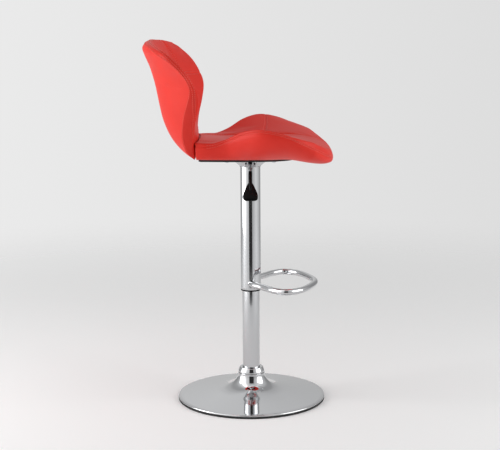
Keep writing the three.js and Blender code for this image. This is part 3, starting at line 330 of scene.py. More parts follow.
foot_radius, neck_high, sheet = 0.1925, 0.0687, 0.002
foot_shares = np.array([
    [0.96, 0.155], [0.86, 0.19], [0.72, 0.24], [0.57, 0.3], [0.43, 0.375], [0.33, 0.46],
    [0.265, 0.56], [0.225, 0.67], [0.198, 0.8], [0.184, 0.91],
])
foot_top = np.vstack([foot_shares * [foot_radius, neck_high], [[0.0346, neck_high]]])
foot_top = spline(np.vstack([[[0.1903, 0.0093]], foot_top]), np.linspace(0.0, 1.0, 90))
rim_angle = np.linspace(-0.35 * np.pi, 0.42 * np.pi, 12)
rim = np.stack([foot_radius - 0.0026 + 0.0026 * np.cos(rim_angle), 0.0069 + 0.0026 * np.sin(rim_angle)], axis=-1)
foot_under = foot_top[::-3] - [sheet, sheet]
foot_under[:, 1] = np.maximum(foot_under[:, 1], 0.0045)
foot_profile = np.vstack([rim, foot_top[1:], foot_under])
foot = turned("foot_disc", foot_profile, "base", chrome, "chrome", "base_dish", sides=256)

collar_profile = rounded(
    [[0.0228, 0.069], [0.0344, 0.069], [0.0344, 0.0735], [0.0302, 0.084], [0.0228, 0.084]],
    [0.0003, 0.0008, 0.0014, 0.0022, 0.0006])
turned("foot_collar", collar_profile, "base", chrome, "chrome", "base_collar")


def moulded(name, colour, rough, grain, grain_depth, shine=0.5):
    """A moulded material: one colour with faint light and dark, and a fine grain of a real size in its bump."""
    material = empty_material(name)
    where = node(material, "ShaderNodeTexCoord")
    fine = node(material, "ShaderNodeTexNoise",
                {"Vector": where.outputs["Object"], "Scale": 1.0 / grain, "Detail": 3.0, "Roughness": 0.6})
    broad = node(material, "ShaderNodeTexNoise",
                 {"Vector": where.outputs["Object"], "Scale": 1.0 / 0.04, "Detail": 2.0, "Roughness": 0.5})
    shade = node(material, "ShaderNodeMixRGB",
                 {"Fac": broad.outputs["Fac"], "Color1": linear(colour[0]), "Color2": linear(colour[1])})
    wear = node(material, "ShaderNodeMapRange",
                {"Value": broad.outputs["Fac"], "From Min": 0.3, "From Max": 0.7,
                 "To Min": rough * 0.85, "To Max": rough * 1.15})
    bump = node(material, "ShaderNodeBump",
                {"Height": fine.outputs["Fac"], "Strength": 0.35, "Distance": grain_depth})
    shader = node(material, "ShaderNodeBsdfPrincipled",
                  {"Base Color": shade.outputs["Color"], "Roughness": wear.outputs["Result"],
                   "Normal": bump.outputs["Normal"], "Specular IOR Level": shine})
    return finish_material(material, shader)


# Floor ring
# A black rubber channel pressed round the rim. It is moulded and matt.
rubber = moulded("moulded_rubber", ("#191A1B", "#232425"), 0.75, 0.0009, 0.0002)
ring_profile = rounded(
    [[0.1785, 0.0], [0.1925, 0.0], [0.1925, 0.0041], [0.1872, 0.004], [0.1872, 0.002], [0.1785, 0.002]],
    [0.0004, 0.0009, 0.0006, 0.0003, 0.0003, 0.0004])
turned("floor_ring_rubber", ring_profile, "base", rubber, "black_rubber", "floor_ring")

# Column
# Two chrome tubes. The 52 mm outer one carries the seat and slides down over the 45 mm inner one on a black
# moulded ring, and a window near its top lets the release lever through.
lower_high = 0.3795
turned("inner_tube", rounded([[0.0205, 0.0161], [0.0225, 0.0161], [0.0225, lower_high], [0.0205, lower_high]],
                             [0.0003] * 4), "base", chrome, "chrome", "lower_tube")

gloss_black = moulded("gloss_moulded_abs", ("#070708", "#0D0D0E"), 0.34, 0.0012, 0.00005, shine=0.12)
outer_low, outer_high = 0.2935, 0.6354
ring_low = outer_low - 0.0033
turned("slide_ring", rounded(
    [[0.0228, ring_low], [0.0262, ring_low], [0.0262, outer_low - 0.0003], [0.0242, outer_low - 0.0003],
     [0.0242, outer_low + 0.0257], [0.0228, outer_low + 0.0257]],
    [0.0004, 0.0009, 0.0004, 0.0002, 0.0003, 0.0003]), "seat_carriage", gloss_black, "gloss_black_plastic",
    "tube_end_ring")


def slotted_tube(name, profile, wall, half_slot, slot_low, slot_high, body, slot, replaced, sides=240):
    """A sheet turned about the column with a slot on its -Y side: grid lines follow the slot's edges, the faces
    inside it are left out, and Solidify gives the wall its thickness inwards."""
    radius, height = np.array(profile, float).T
    edge = np.arcsin(half_slot / radius)[:, None]
    angle = -np.pi / 2 + np.concatenate([edge * np.linspace(-1.0, 1.0, 13),
                                         edge + (2 * np.pi - 2 * edge) * np.linspace(0.0, 1.0, sides)[1:-1]], axis=1)
    points = np.stack([radius[:, None] * np.cos(angle), radius[:, None] * np.sin(angle),
                       np.broadcast_to(height[:, None], angle.shape)], axis=-1)
    columns = angle.shape[1]
    j, i = np.meshgrid(np.arange(len(radius) - 1), np.arange(columns), indexing="ij")
    in_slot = (i < 12) & (height[j] >= slot_low - 1e-6) & (height[j + 1] <= slot_high + 1e-6)
    j, i = j[~in_slot], i[~in_slot]
    faces = np.stack([j * columns + i, j * columns + (i + 1) % columns,
                      (j + 1) * columns + (i + 1) % columns, (j + 1) * columns + i], axis=-1)
    made = mesh_object(name, points.reshape(-1, 3), faces.tolist())
    shell = made.modifiers.new("wall", "SOLIDIFY")
    shell.thickness = wall
    shell.offset = -1.0
    return dress(made, body, chrome, slot, replaced)


tube_heights = np.concatenate([[outer_low, outer_low + 0.0006], np.linspace(0.30, 0.61, 32), [outer_high - 0.017],
                               np.linspace(0.621, outer_high, 8)])
tube_profile = np.stack([np.where(tube_heights <= outer_low, 0.0257, 0.026), tube_heights], axis=-1)
slotted_tube("outer_tube", tube_profile, 0.0015, 0.0052, outer_high - 0.017, outer_high, "seat_carriage", "chrome",
             "upper_tube")

# Neck flare
# A spun chrome cone that hides the weld between the column and the seat plate. A slot at the front of it clears
# the lever, and two black grub screws hold it.
flare_low = outer_high - 0.018
flare_heights = np.linspace(flare_low, outer_high, 30)
flare_run = (flare_heights - flare_low) / 0.018
flare_radius = 0.0272 + (0.05 - 0.0275) * flare_run ** 1.04 + 0.0003 * np.exp(-(flare_run / 0.03) ** 2)
slotted_tube("neck_cone", np.stack([flare_radius, flare_heights], axis=-1), 0.0011, 0.0047,
             flare_low + 0.0018, outer_high, "seat_carriage", "chrome", "neck_flare")
turned("neck_weld", rounded([[0.0262, flare_low - 0.0014], [0.0276, flare_low - 0.0014], [0.0276, flare_low],
                             [0.0262, flare_low]], [0.0003, 0.0006, 0.0003, 0.0002]),
       "seat_carriage", chrome, "chrome")

# Footrest
# One 16 mm chrome tube bent to an egg shape, its two ends mitred and welded to the sides of the column.
rest_radius, rest_high = 0.008, 0.3116
rest_run = np.array([-0.025, 0, 0.17, 0.345, 0.525, 0.735, 0.905, 1])
rest_side = np.array([0.16, 0.275, 0.555, 0.86, 1, 0.86, 0.475, 0])
half_loop = np.stack([0.003 + rest_run * 0.164, -rest_side * 0.1235, np.full(8, rest_high)], axis=-1)
loop_points = np.vstack([half_loop, half_loop[-2::-1] * [1, -1, 1]])


def swept(path, radius, around=32):
    """A round bar: at each point of the path, a circle in the plane square to it, whose first axis is level."""
    along = np.gradient(path, axis=0)
    along /= np.linalg.norm(along, axis=1, keepdims=True)
    up = np.array([0.0, 0.0, 1.0]) if abs(along[:, 2]).max() < 0.9 else np.array([1.0, 0.0, 0.0])
    side = np.cross(up, along)
    side /= np.linalg.norm(side, axis=1, keepdims=True)
    other = np.cross(along, side)
    turn = np.linspace(0.0, 2.0 * np.pi, around, endpoint=False)
    radius = np.broadcast_to(radius, len(path))[:, None, None]
    return (path[:, None] + radius * (np.cos(turn)[None, :, None] * side[:, None]
                                      + np.sin(turn)[None, :, None] * other[:, None]))


loop_path = spline(loop_points, np.linspace(0.0, 1.0, 420))
outside = np.linalg.norm(loop_path[:, :2], axis=1) > 0.0235
loop_path = loop_path[outside]
loop = surface_mesh("footrest_tube", swept(loop_path, rest_radius, 40), wrap_u=True)
loop_wall = loop.modifiers.new("wall", "SOLIDIFY")
loop_wall.thickness = 0.0016
loop_wall.offset = -1.0
dress(loop, "seat_carriage", chrome, "chrome", "footrest_loop")

# Lever
# A zinc-plated bar that turns on a cross pin inside the column's top. Its flat arm lies over the valve pin, and
# its round end comes out through the slot and bends down to the handle.
def plated_zinc():
    """Zinc plate: a dull grey metal with a fine, slightly mottled satin."""
    material = empty_material("bright_zinc_plate")
    where = node(material, "ShaderNodeTexCoord")
    mottle = node(material, "ShaderNodeTexNoise",
                  {"Vector": where.outputs["Object"], "Scale": 1.0 / 0.004, "Detail": 4.0, "Roughness": 0.65})
    shade = node(material, "ShaderNodeMixRGB",
                 {"Fac": mottle.outputs["Fac"], "Color1": linear("#C2C5C9"), "Color2": linear("#DADCDF")})
    rough = node(material, "ShaderNodeMapRange",
                 {"Value": mottle.outputs["Fac"], "From Min": 0.3, "From Max": 0.7, "To Min": 0.28, "To Max": 0.42})
    shader = node(material, "ShaderNodeBsdfPrincipled",
                  {"Base Color": shade.outputs["Color"], "Metallic": 0.8, "Roughness": rough.outputs["Result"]})
    return finish_material(material, shader)


zinc = plated_zinc()
pin_y, pin_z, elbow_y = -0.0155, 0.6249, -0.055
slope = math.radians(57.0)
down_slope = np.array([0.0, -math.cos(slope), -math.sin(slope)])
elbow = np.array([0.0, elbow_y, pin_z])


def lever_line(places):
    """The rod's middle line: level from the pin to the elbow, a bend of 12 mm, then straight down the slope."""
    bend_in, bend_out = elbow + [0.0, 0.012, 0.0], elbow + 0.012 * down_slope
    t = np.linspace(0.0, 1.0, 14)[:, None]
    bend = (1 - t) ** 2 * bend_in + 2 * t * (1 - t) * elbow + t ** 2 * bend_out
    level = np.array([[0.0, pin_y + 0.006, pin_z], [0.0, pin_y - 0.01, pin_z]])
    straight = elbow + np.linspace(0.02, 0.053, 6)[:, None] * down_slope
    line = np.vstack([level, bend, straight])
    run = np.append(0.0, np.cumsum(np.linalg.norm(np.diff(line, axis=0), axis=1)))
    return np.stack([np.interp(places * run[-1], run, line[:, k]) for k in range(3)], axis=-1)


def flat_bar(centre_line, half_width, half_height, power, around=40):
    """A bar with a rounded rectangular section: cosine and sine raised to a power below one, along a line in YZ."""
    turn = np.linspace(0.0, 2.0 * np.pi, around, endpoint=False)
    across = np.sign(np.cos(turn)) * np.abs(np.cos(turn)) ** power
    up = np.sign(np.sin(turn)) * np.abs(np.sin(turn)) ** power
    along = np.gradient(centre_line, axis=0)
    along /= np.linalg.norm(along, axis=1, keepdims=True)
    square = np.stack([np.zeros(len(along)), -along[:, 2], along[:, 1]], axis=-1)
    half_width = np.broadcast_to(half_width, len(along))[:, None, None]
    half_height = np.broadcast_to(half_height, len(along))[:, None, None]
    side = np.array([1.0, 0.0, 0.0])
    return (centre_line[:, None] + half_width * across[None, :, None] * side
            + half_height * up[None, :, None] * square[:, None])


rod_path = lever_line(np.linspace(0.0, 1.0, 60))
lever_rod = surface_mesh("lever_rod", swept(rod_path, 0.0035, 28), wrap_u=True, capped=True)
dress(lever_rod, "lever", zinc, "zinc_steel", "release_lever")
arm_line = np.stack([np.zeros(12), np.linspace(0.007, -0.0245, 12), np.full(12, pin_z)], axis=-1)
arm_edge = np.array([0.86, 0.96] + [1.0] * 8 + [0.96, 0.86])
arm = surface_mesh("lever_arm", flat_bar(arm_line, 0.004 * arm_edge, 0.004 * arm_edge, 0.35)[:, ::-1],
                   wrap_u=True, capped=True)
dress(arm, "lever", zinc, "zinc_steel")

# Handle
# A black ABS spade moulded with its own sleeve, pushed on the rod. It is glossy, and its lower edge is thicker.
handle_start = elbow + 0.0476 * down_slope
handle_run = np.array([0.0, 0.02, 0.08, 0.16, 0.32, 0.54, 0.72, 0.85, 0.93, 0.98, 1.0])
handle_half = np.array([0.0043, 0.005, 0.0068, 0.0091, 0.0124, 0.0167, 0.0189, 0.0187, 0.0174, 0.0142, 0.0115])
handle_deep = np.array([0.0024, 0.0029, 0.0031, 0.0031, 0.0031, 0.0033, 0.0035, 0.0035, 0.003, 0.0022, 0.001])
fine_run = 0.5 - 0.5 * np.cos(np.linspace(0.0, np.pi, 60))
spade_line = handle_start + fine_run[:, None] * 0.05 * down_slope
spade = surface_mesh("handle_spade", flat_bar(
    spade_line,
    spline(np.stack([handle_run, handle_half], axis=-1), np.interp(fine_run, handle_run, np.linspace(0, 1, 11)))[:, 1],
    spline(np.stack([handle_run, handle_deep], axis=-1), np.interp(fine_run, handle_run, np.linspace(0, 1, 11)))[:, 1],
    0.62, 72)[:, ::-1], wrap_u=True, capped=True)
dress(spade, "lever", gloss_black, "gloss_black_plastic", "lever_handle")
sleeve_run = np.array([-0.031, -0.0308, -0.03, -0.028, -0.01, 0.0, 0.012, 0.022, 0.0236, 0.024])
sleeve_radius = np.array([0.0038, 0.0044, 0.0047, 0.0048, 0.0048, 0.0048, 0.0044, 0.0038, 0.0034, 0.002])
sleeve_line = handle_start + sleeve_run[:, None] * down_slope
sleeve = surface_mesh("handle_sleeve", swept(sleeve_line, sleeve_radius, 36), wrap_u=True, capped=True)
dress(sleeve, "lever", gloss_black, "gloss_black_plastic")

# Seat pad
# Foam on the seat board under a sewn cover of red leatherette. Two seams run from the crease to the front, one
# crosses them, and a fourth joins the top to the side band, which is stapled under the board.
def leatherette():
    """Red leatherette: a pebble grain under a millimetre across, faint broad changes of shade, and a thin gloss."""
    material = empty_material("red_leatherette")
    where = node(material, "ShaderNodeTexCoord")
    broad = node(material, "ShaderNodeTexNoise",
                 {"Vector": where.outputs["Object"], "Scale": 1.0 / 0.05, "Detail": 3.0, "Roughness": 0.55})
    shade = node(material, "ShaderNodeMixRGB",
                 {"Fac": broad.outputs["Fac"], "Color1": linear("#D3291E"), "Color2": linear("#DD3226")})
    pebble = node(material, "ShaderNodeTexVoronoi",
                  {"Vector": where.outputs["Object"], "Scale": 1.0 / 0.0013, "Smoothness": 0.5, "Randomness": 1.0},
                  feature="SMOOTH_F1")
    crease = node(material, "ShaderNodeTexNoise",
                  {"Vector": where.outputs["Object"], "Scale": 1.0 / 0.008, "Detail": 5.0, "Roughness": 0.6})
    grain = node(material, "ShaderNodeMath", {0: pebble.outputs["Distance"], 1: 0.6}, operation="MULTIPLY")
    relief = node(material, "ShaderNodeMath", {0: grain.outputs[0], 1: crease.outputs["Fac"]}, operation="ADD")
    bump = node(material, "ShaderNodeBump", {"Height": relief.outputs[0], "Strength": 0.3, "Distance": 0.00012})
    gloss = node(material, "ShaderNodeMapRange",
                 {"Value": broad.outputs["Fac"], "From Min": 0.3, "From Max": 0.7, "To Min": 0.42, "To Max": 0.5})
    shader = node(material, "ShaderNodeBsdfPrincipled",
                  {"Base Color": shade.outputs["Color"], "Roughness": gloss.outputs["Result"],
                   "Normal": bump.outputs["Normal"], "Specular IOR Level": 0.2})
    return finish_material(material, shader)


red = leatherette()


def sewn_panel(middle, side, bow_along, bow_up):
    """A panel as a function of u across and v along: from its middle line to its two mirrored side lines, where each
    point leaves the middle by a power of u, which hollows the panel."""
    def surface(u, v):
        m, s = spline(middle, v), spline(side, v)
        across = np.abs(u)[..., None]
        return np.concatenate([m[..., :1] + (s - m)[..., :1] * across ** bow_along,
                               s[..., 1:2] * u[..., None],
                               m[..., 2:] + (s - m)[..., 2:] * across ** bow_up], axis=-1)
    return surface


def sewn(place, seam, near):
    """Stretches a grid from its own places to shares of the pad: line 0.5 falls on the seam, 0.44 and 0.56 lie the
    share near each side of it, and the other lines share out what is left."""
    p = np.abs(place)
    before = p / 0.44 * (seam - near)
    along = seam + (p - 0.5) / 0.06 * near
    after = 1.0 - (1.0 - p) / 0.44 * (1.0 - seam - near)
    return np.sign(place) * np.where(p < 0.44, before, np.where(p > 0.56, after, along))


def grid_lines(before, after):
    """Places of grid lines from 0 to 1: some before the seam, five along it, and some after it."""
    return np.concatenate([np.linspace(0.0, 0.44, before), [0.476, 0.5, 0.524], np.linspace(0.56, 1.0, after)])


def mirrored(lines):
    """Grid lines from -1 to 1 out of those from 0 to 1."""
    return np.concatenate([-lines[:0:-1], lines])


def edge_loop(rows, columns):
    """The points round a grid's edge: along its first row, up its last column, back, and down its first column."""
    return np.concatenate([np.arange(columns - 1), np.arange(rows - 1) * columns + columns - 1,
                           (rows - 1) * columns + np.arange(columns - 1, 0, -1),
                           np.arange(rows - 1, 0, -1) * columns])


def pad_mesh(name, face, rings, rear=None):
    """A closed pad: the grid of its face, the rings of its border, and the grid of its rear, or a fan of triangles
    where it has none."""
    rows, columns = face.shape[:2]
    loop = edge_loop(rows, columns)
    around, size = len(loop), rows * columns
    numbers = np.arange(size).reshape(rows, columns)
    a, b, c, d = numbers[:-1, :-1], numbers[:-1, 1:], numbers[1:, 1:], numbers[1:, :-1]
    faces = np.stack([a, d, c, b], axis=-1).reshape(-1, 4).tolist()
    points = [face.reshape(-1, 3), rings.reshape(-1, 3)]
    lines = np.vstack([loop, size + np.arange(len(rings) * around).reshape(-1, around)])
    last = size + len(rings) * around
    if rear is None:
        points.append(rings[-1].mean(axis=0)[None])
        fan = np.stack([lines[-1], np.roll(lines[-1], -1), np.full(around, last)], axis=-1)
        faces += fan.tolist()
    else:
        points.append(rear.reshape(-1, 3))
        lines = np.vstack([lines, loop + last])
        faces += (np.stack([a, b, c, d], axis=-1).reshape(-1, 4) + last).tolist()
    after = np.roll(lines, -1, axis=1)
    border = np.stack([lines[:-1], after[:-1], after[1:], lines[1:]], axis=-1)
    faces += border.reshape(-1, 4).tolist()
    return mesh_object(name, np.vstack(points), faces)


def read_points(mesh):
    """A mesh's points as an array of rows of three."""
    points = np.empty(3 * len(mesh.vertices))
    mesh.vertices.foreach_get("co", points)
    return points.reshape(-1, 3)


def inflate(piece, held, cap):
    """Blender's cloth under a light pressure for 20 frames, with some points held. No point keeps more of its
    movement than its cap, and the result becomes the piece's own mesh."""
    group = piece.vertex_groups.new(name="held")
    group.add(np.flatnonzero(held).tolist(), 1.0, "REPLACE")
    cloth = piece.modifiers.new("cloth", "CLOTH")
    cloth.settings.use_pressure = True
    cloth.settings.uniform_pressure_force = 4.0
    cloth.settings.effector_weights.gravity = 0.0
    cloth.settings.vertex_group_mass = "held"
    cloth.settings.quality = 6
    cloth.settings.tension_stiffness = 30.0
    cloth.settings.compression_stiffness = 30.0
    cloth.settings.bending_stiffness = 1.0
    cloth.collision_settings.use_collision = False
    cloth.point_cache.frame_start = 1
    cloth.point_cache.frame_end = 20
    for step in range(1, 21):
        scene.frame_set(step)
    swollen = read_points(piece.evaluated_get(bpy.context.evaluated_depsgraph_get()).data)
    piece.modifiers.remove(cloth)
    scene.frame_set(1)
    start = read_points(piece.data)
    moved = swollen - start
    size = np.maximum(np.linalg.norm(moved, axis=1), 1e-9)
    kept = cap * np.tanh(size / cap) / size
    piece.data.vertices.foreach_set("co", (start + moved * kept[:, None]).ravel())
    piece.data.update()
    print("cloth", piece.name, "moved up to", size.max(), "kept up to", (size * kept).max())


def sink(piece, depth):
    """Moves each point in along its normal by its own depth."""
    normals = np.empty(3 * len(piece.data.vertices))
    piece.data.vertex_normals.foreach_get("vector", normals)
    points = read_points(piece.data) - normals.reshape(-1, 3) * depth[:, None]
    piece.data.vertices.foreach_set("co", points.ravel())
    piece.data.update()


def beside(numbers, seams):
    """How deep a seam draws each grid line in: all of it on the seam, less on the two lines each side of it."""
    off = np.abs(np.asarray(numbers)[:, None] - np.asarray(seams)[None, :]).min(axis=1)
    return np.interp(off, [0.0, 1.0, 2.0, 3.0], [1.0, 0.42, 0.08, 0.0])


def capsules(name, lines, pitch=0.0065, long=0.0042, thick=0.0005):
    """Stitches as one mesh: along each line of points and normals, rods of five rings of six points, set out at an
    even pitch. A ring lies at middle + share * long / 2 * tangent, and its points thick * share round it."""
    middles, tangents, ups = [], [], []
    for points, normals in lines:
        run = np.append(0.0, np.cumsum(np.linalg.norm(np.diff(points, axis=0), axis=1)))
        count = max(int(run[-1] / pitch), 1)
        places = (np.arange(count) + 0.5) * run[-1] / count
        read = lambda values, at: np.stack([np.interp(at, run, values[:, k]) for k in range(3)], axis=-1)
        tangent = read(points, places + 0.3 * long) - read(points, places - 0.3 * long)
        tangents.append(tangent / np.maximum(np.linalg.norm(tangent, axis=1, keepdims=True), 1e-9))
        up = read(normals, places)
        ups.append(up / np.maximum(np.linalg.norm(up, axis=1, keepdims=True), 1e-9))
        middles.append(read(points, places))
    middles, tangents, ups = np.vstack(middles), np.vstack(tangents), np.vstack(ups)
    sides = np.cross(ups, tangents)
    along_share = np.array([-1.0, -0.8, 0.0, 0.8, 1.0])[None, :, None, None]
    round_share = np.array([0.35, 0.9, 1.0, 0.9, 0.35])[None, :, None, None]
    turn = np.arange(6) * np.pi / 3
    ring = (np.cos(turn)[None, None, :, None] * sides[:, None, None]
            + np.sin(turn)[None, None, :, None] * ups[:, None, None])
    points = (middles[:, None, None] + 0.0003 * ups[:, None, None]
              + along_share * 0.5 * long * tangents[:, None, None] + round_share * thick * ring)
    first = 30 * np.arange(len(middles))[:, None, None]
    j, i = np.arange(4)[None, :, None], np.arange(6)[None, None, :]
    a, b = first + 6 * j + i, first + 6 * j + (i + 1) % 6
    walls = np.stack([a, a + 6, b + 6, b], axis=-1).reshape(-1, 4).tolist()
    ends = first[:, 0] + np.arange(6)
    made = mesh_object(name, points.reshape(-1, 3), walls + ends.tolist() + (ends[:, ::-1] + 24).tolist())
    return dress(made, "seat_carriage", thread_with_seam_highlight, "red_upholstery")


def between_lines(piece, *pairs):
    """For each pair of rows of point numbers, the line halfway between them on a piece, with its normals."""
    points = read_points(piece.data)
    normals = np.empty(3 * len(piece.data.vertices))
    piece.data.vertex_normals.foreach_get("vector", normals)
    normals = normals.reshape(-1, 3)
    return [((points[a] + points[b]) / 2, normals[a] + normals[b]) for a, b in pairs]


# The thread is a lighter red than the cover: partly its own colour, partly a painted highlight along the seams.
thread_with_seam_highlight = moulded("polyester_thread_with_painted_highlight", ("#DF5A4E", "#EA7468"), 0.55, 0.0004, 0.00005, shine=0.3)


def seat_place(shares):
    """Places on the seat pad from shares of its length, its half width and the wings' rise over its middle."""
    return np.array([-0.128, 0.0, 0.688]) + np.array(shares) * [0.335, 0.205, 0.044]


def base_place(shares):
    """Places on the level underside from shares of its length and half width."""
    return np.array([-0.130, 0.0, 0.644]) + np.array(shares) * [0.258, 0.092, 0.0]


seat_side = seat_place([
    [-0.027, 0.515, 0.04], [0.035, 0.54, 0.02], [0.107, 0.56, 0.05], [0.209, 0.61, 0.34], [0.322, 0.775, 0.805],
    [0.457, 0.935, 1.02], [0.591, 0.975, 0.85], [0.734, 0.93, 0.48], [0.853, 0.812, 0.16]])
seat_middle = seat_place([
    [0, 0, 0.1], [0.09, 0, 0.05], [0.27, 0, 0], [0.475, 0, -0.02], [0.68, 0, -0.03], [0.83, 0, -0.115],
    [0.935, 0, -0.315], [1, 0, -26.0 / 44.0]])
base_side = base_place([[-0.022, 0.9, 0], [0.2, 0.96, 0], [0.5, 1, 0], [0.75, 0.94, 0], [0.9, 0.74, 0]])
base_middle = base_place([[0, 0, 0], [0.33, 0, 0], [0.67, 0, 0], [1, 0, 0]])

seat_columns, seat_rows = mirrored(grid_lines(9, 15)), grid_lines(25, 23)
across, along = np.meshgrid(seat_columns, seat_rows)
v = sewn(along, 0.451 + 0.22 * np.abs(across) ** 3.9, 0.014)
side_y = spline(seat_side, v)[..., 1]
seat_face = sewn_panel(seat_middle, seat_side, 2.5, 2.2)(sewn(across, 0.072 / side_y, 0.005 / side_y), v)
seat_under = sewn_panel(base_middle, base_side, 2.5, 2.0)(across, v)
loop = edge_loop(*seat_face.shape[:2])
start, end = seat_face.reshape(-1, 3)[loop], seat_under.reshape(-1, 3)[loop]

out = (start - end) * [1.0, 1.0, 0.0]
reach = np.linalg.norm(out, axis=1, keepdims=True)
out /= reach
front = np.clip((start[:, :1] - 0.095) / 0.112, 0.0, 1.0)
front = front * front * (3.0 - 2.0 * front)
fall = start[:, 2:] - end[:, 2:]
down = np.array([[0.0, 0.0, -1.0]])
high = start + out * np.minimum(0.024, 0.26 * reach) + down * (0.4 * fall + 0.045 * front)
low = end + out * (0.42 + 0.3 * front) * reach + down * 0.012 * front


def curve_between(first, second, third, fourth, t):
    """A cubic curve with four control points for each row, read at the places t."""
    t = t[..., None]
    return ((1 - t) ** 3 * first + 3 * t * (1 - t) ** 2 * second + 3 * t * t * (1 - t) * third + t ** 3 * fourth)


def ring_places(length, seams, rest):
    """Places down a border for each point of its edge: 5 mm spacing or less near the edge, five lines along each
    seam, whose distances from the edge are given for every point, and the rest evenly to the far edge."""
    near = np.array([-0.005, -0.002, 0.0, 0.002, 0.005])[:, None]
    parts = [(seam[None, :] + near) / length for seam in seams]
    first = parts[0][0]
    lines = [first * 0.36, first * 0.7] + list(np.vstack(parts))
    lines = np.array(lines)
    spread = np.linspace(0.0, 1.0, rest + 2)[1:-1, None]
    return np.vstack([lines, lines[-1] + (1.0 - lines[-1]) * spread])


seam_ring = np.interp(start[:, 0], [0.07, 0.097, 0.121, 0.146, 0.19], [0.009, 0.011, 0.017, 0.021, 0.022])
border_length = np.linalg.norm(high - start, axis=1) + np.linalg.norm(low - high, axis=1)
border_length += np.linalg.norm(end - low, axis=1)
seat_t = ring_places(border_length * 0.93, [seam_ring], 11)
seat_rings = curve_between(start, high, low, end, seat_t)
hem_share = np.array([1.0, 0.973, 0.962, 0.961, 0.955, 0.8, 0.6, 0.4, 0.2])[:, None, None]
hem_high = np.array([0.644, 0.644, 0.6445, 0.6585, 0.6597, 0.66, 0.66, 0.66, 0.66])[:, None]
hem = np.array([-0.001, 0.0, 0.0]) + (end - [-0.001, 0.0, 0.0])[None] * hem_share
hem[..., 2] = hem_high
seat_rings = np.concatenate([seat_rings, hem])
seat = pad_mesh("seat_cover", seat_face, seat_rings)

seat_seam_columns = [np.argmin(np.abs(seat_columns + 0.5)), np.argmin(np.abs(seat_columns - 0.5))]
seat_seam_row = [np.argmin(np.abs(seat_rows - 0.5))]
around = len(loop)
face_held = np.zeros(seat_face.shape[:2], bool)
face_held[:, seat_seam_columns] = True
face_held[seat_seam_row] = True
face_held[[0, 1]] = True
ring_held = np.zeros((len(seat_rings), around), bool)
ring_held[4] = True
ring_held[-10:] = True
ring_held |= (seat_rings[..., 0] < -0.112)
held = np.concatenate([face_held.ravel(), ring_held.ravel(), [True]])
seat_sunk = np.interp(read_points(seat.data)[:, 0], [-0.11, -0.08, 0.1, 0.14], [0.0, 0.001, 0.001, 0.0])
seat_sunk[-10 * around - 1:] = 0.0
sink(seat, seat_sunk)
inflate(seat, held, 0.0038)
face_depth = np.maximum(beside(np.arange(seat_face.shape[1]), seat_seam_columns)[None, :],
                        beside(np.arange(seat_face.shape[0]), seat_seam_row)[:, None])
ring_depth = np.broadcast_to(beside(np.arange(len(seat_rings)), [4])[:, None], (len(seat_rings), around)).copy()
ring_depth[:5] = np.maximum(ring_depth[:5], face_depth.ravel()[loop])
sink(seat, 0.0017 * np.concatenate([face_depth.ravel(), ring_depth.ravel(), [0.0]]))
seat_smooth = seat.modifiers.new("smooth", "SUBSURF")
seat_smooth.levels = 1
seat_smooth.render_levels = 1
dress(seat, "seat_carriage", red, "red_upholstery", "seat_pad")
seat_numbers = np.arange(seat_face[..., 0].size).reshape(seat_face.shape[:2])
ring_numbers = seat_numbers.size + np.arange(len(seat_rings) * around).reshape(-1, around)
sides_seam = np.flatnonzero(start[:, 0] > -0.11)
seat_columns_at = [(seat_numbers[2:, c + a], seat_numbers[2:, c + b])
                   for c in seat_seam_columns for a, b in ((-2, -1), (1, 2))]
seat_rows_at = [(seat_numbers[seat_seam_row[0] + a], seat_numbers[seat_seam_row[0] + b]) for a, b in ((-2, -1), (1, 2))]
seat_rings_at = [(ring_numbers[a, sides_seam], ring_numbers[b, sides_seam]) for a, b in ((2, 3), (5, 6))]
capsules("seat_stitches", between_lines(seat, *seat_columns_at, *seat_rows_at, *seat_rings_at))

# Back pad
# A shell of foam on a bent steel spine, in the same leatherette: a face of six panels, a narrow side band, and a
# rear cover in one piece, tight over the foam.
def back_place(shares):
    """Places on the back pad from shares of its lean, its half width and its height over the crease."""
    return np.array([-0.131, 0.0, 0.689]) + np.array(shares) * [-0.117, 0.232, 0.249]


def with_middle(shares):
    """Rows of lean and height for a middle line, given a width of nothing."""
    return np.insert(np.array(shares, float), 1, 0.0, axis=1)


face_middle = back_place(with_middle([
    [0, 0], [0.03, 0.09], [0.19, 0.213], [0.4, 0.357], [0.56, 0.506], [0.68, 0.647], [0.803, 0.807],
    [0.932, 0.936], [1, 1]]))
face_side = back_place([
    [0.073, 0.448, 0], [0.06, 0.522, 0.075], [0.03, 0.612, 0.197], [-0.042, 0.733, 0.345], [-0.075, 0.875, 0.506],
    [0.027, 0.966, 0.627], [0.217, 1, 0.767], [0.47, 0.966, 0.884], [0.641, 0.884, 0.945]])
rear_middle = back_place(with_middle([
    [0.064, -0.185], [0.225, -0.157], [0.385, -0.1], [0.585, 0.012], [0.765, 0.193], [0.842, 0.345], [0.93, 0.562],
    [1.04, 0.743], [1.155, 0.867], [1.2, 0.936], [1.154, 0.98]]))
rear_side = back_place([
    [0.085, 0.42, -0.177], [0.225, 0.483, -0.084], [0.28, 0.582, 0.076], [0.24, 0.69, 0.225], [0.16, 0.82, 0.386],
    [0.115, 0.922, 0.518], [0.17, 1, 0.639], [0.325, 1.026, 0.743], [0.575, 0.983, 0.847], [0.77, 0.884, 0.896]])
back_columns, back_rows = mirrored(grid_lines(14, 10)), grid_lines(29, 19)
across, along = np.meshgrid(-back_columns, back_rows)
v = sewn(along, 0.61, 0.02)
u = sewn(across, 0.65, 0.005 / spline(face_side, v)[..., 1])
back_face = sewn_panel(face_middle, face_side, 2.2, 2.8)(u, v)
drawn_in = np.interp(spline(rear_side, v)[..., 2], [0.645, 0.7, 0.75, 0.8, 0.83], [0.86, 0.84, 0.9, 0.96, 1.0])
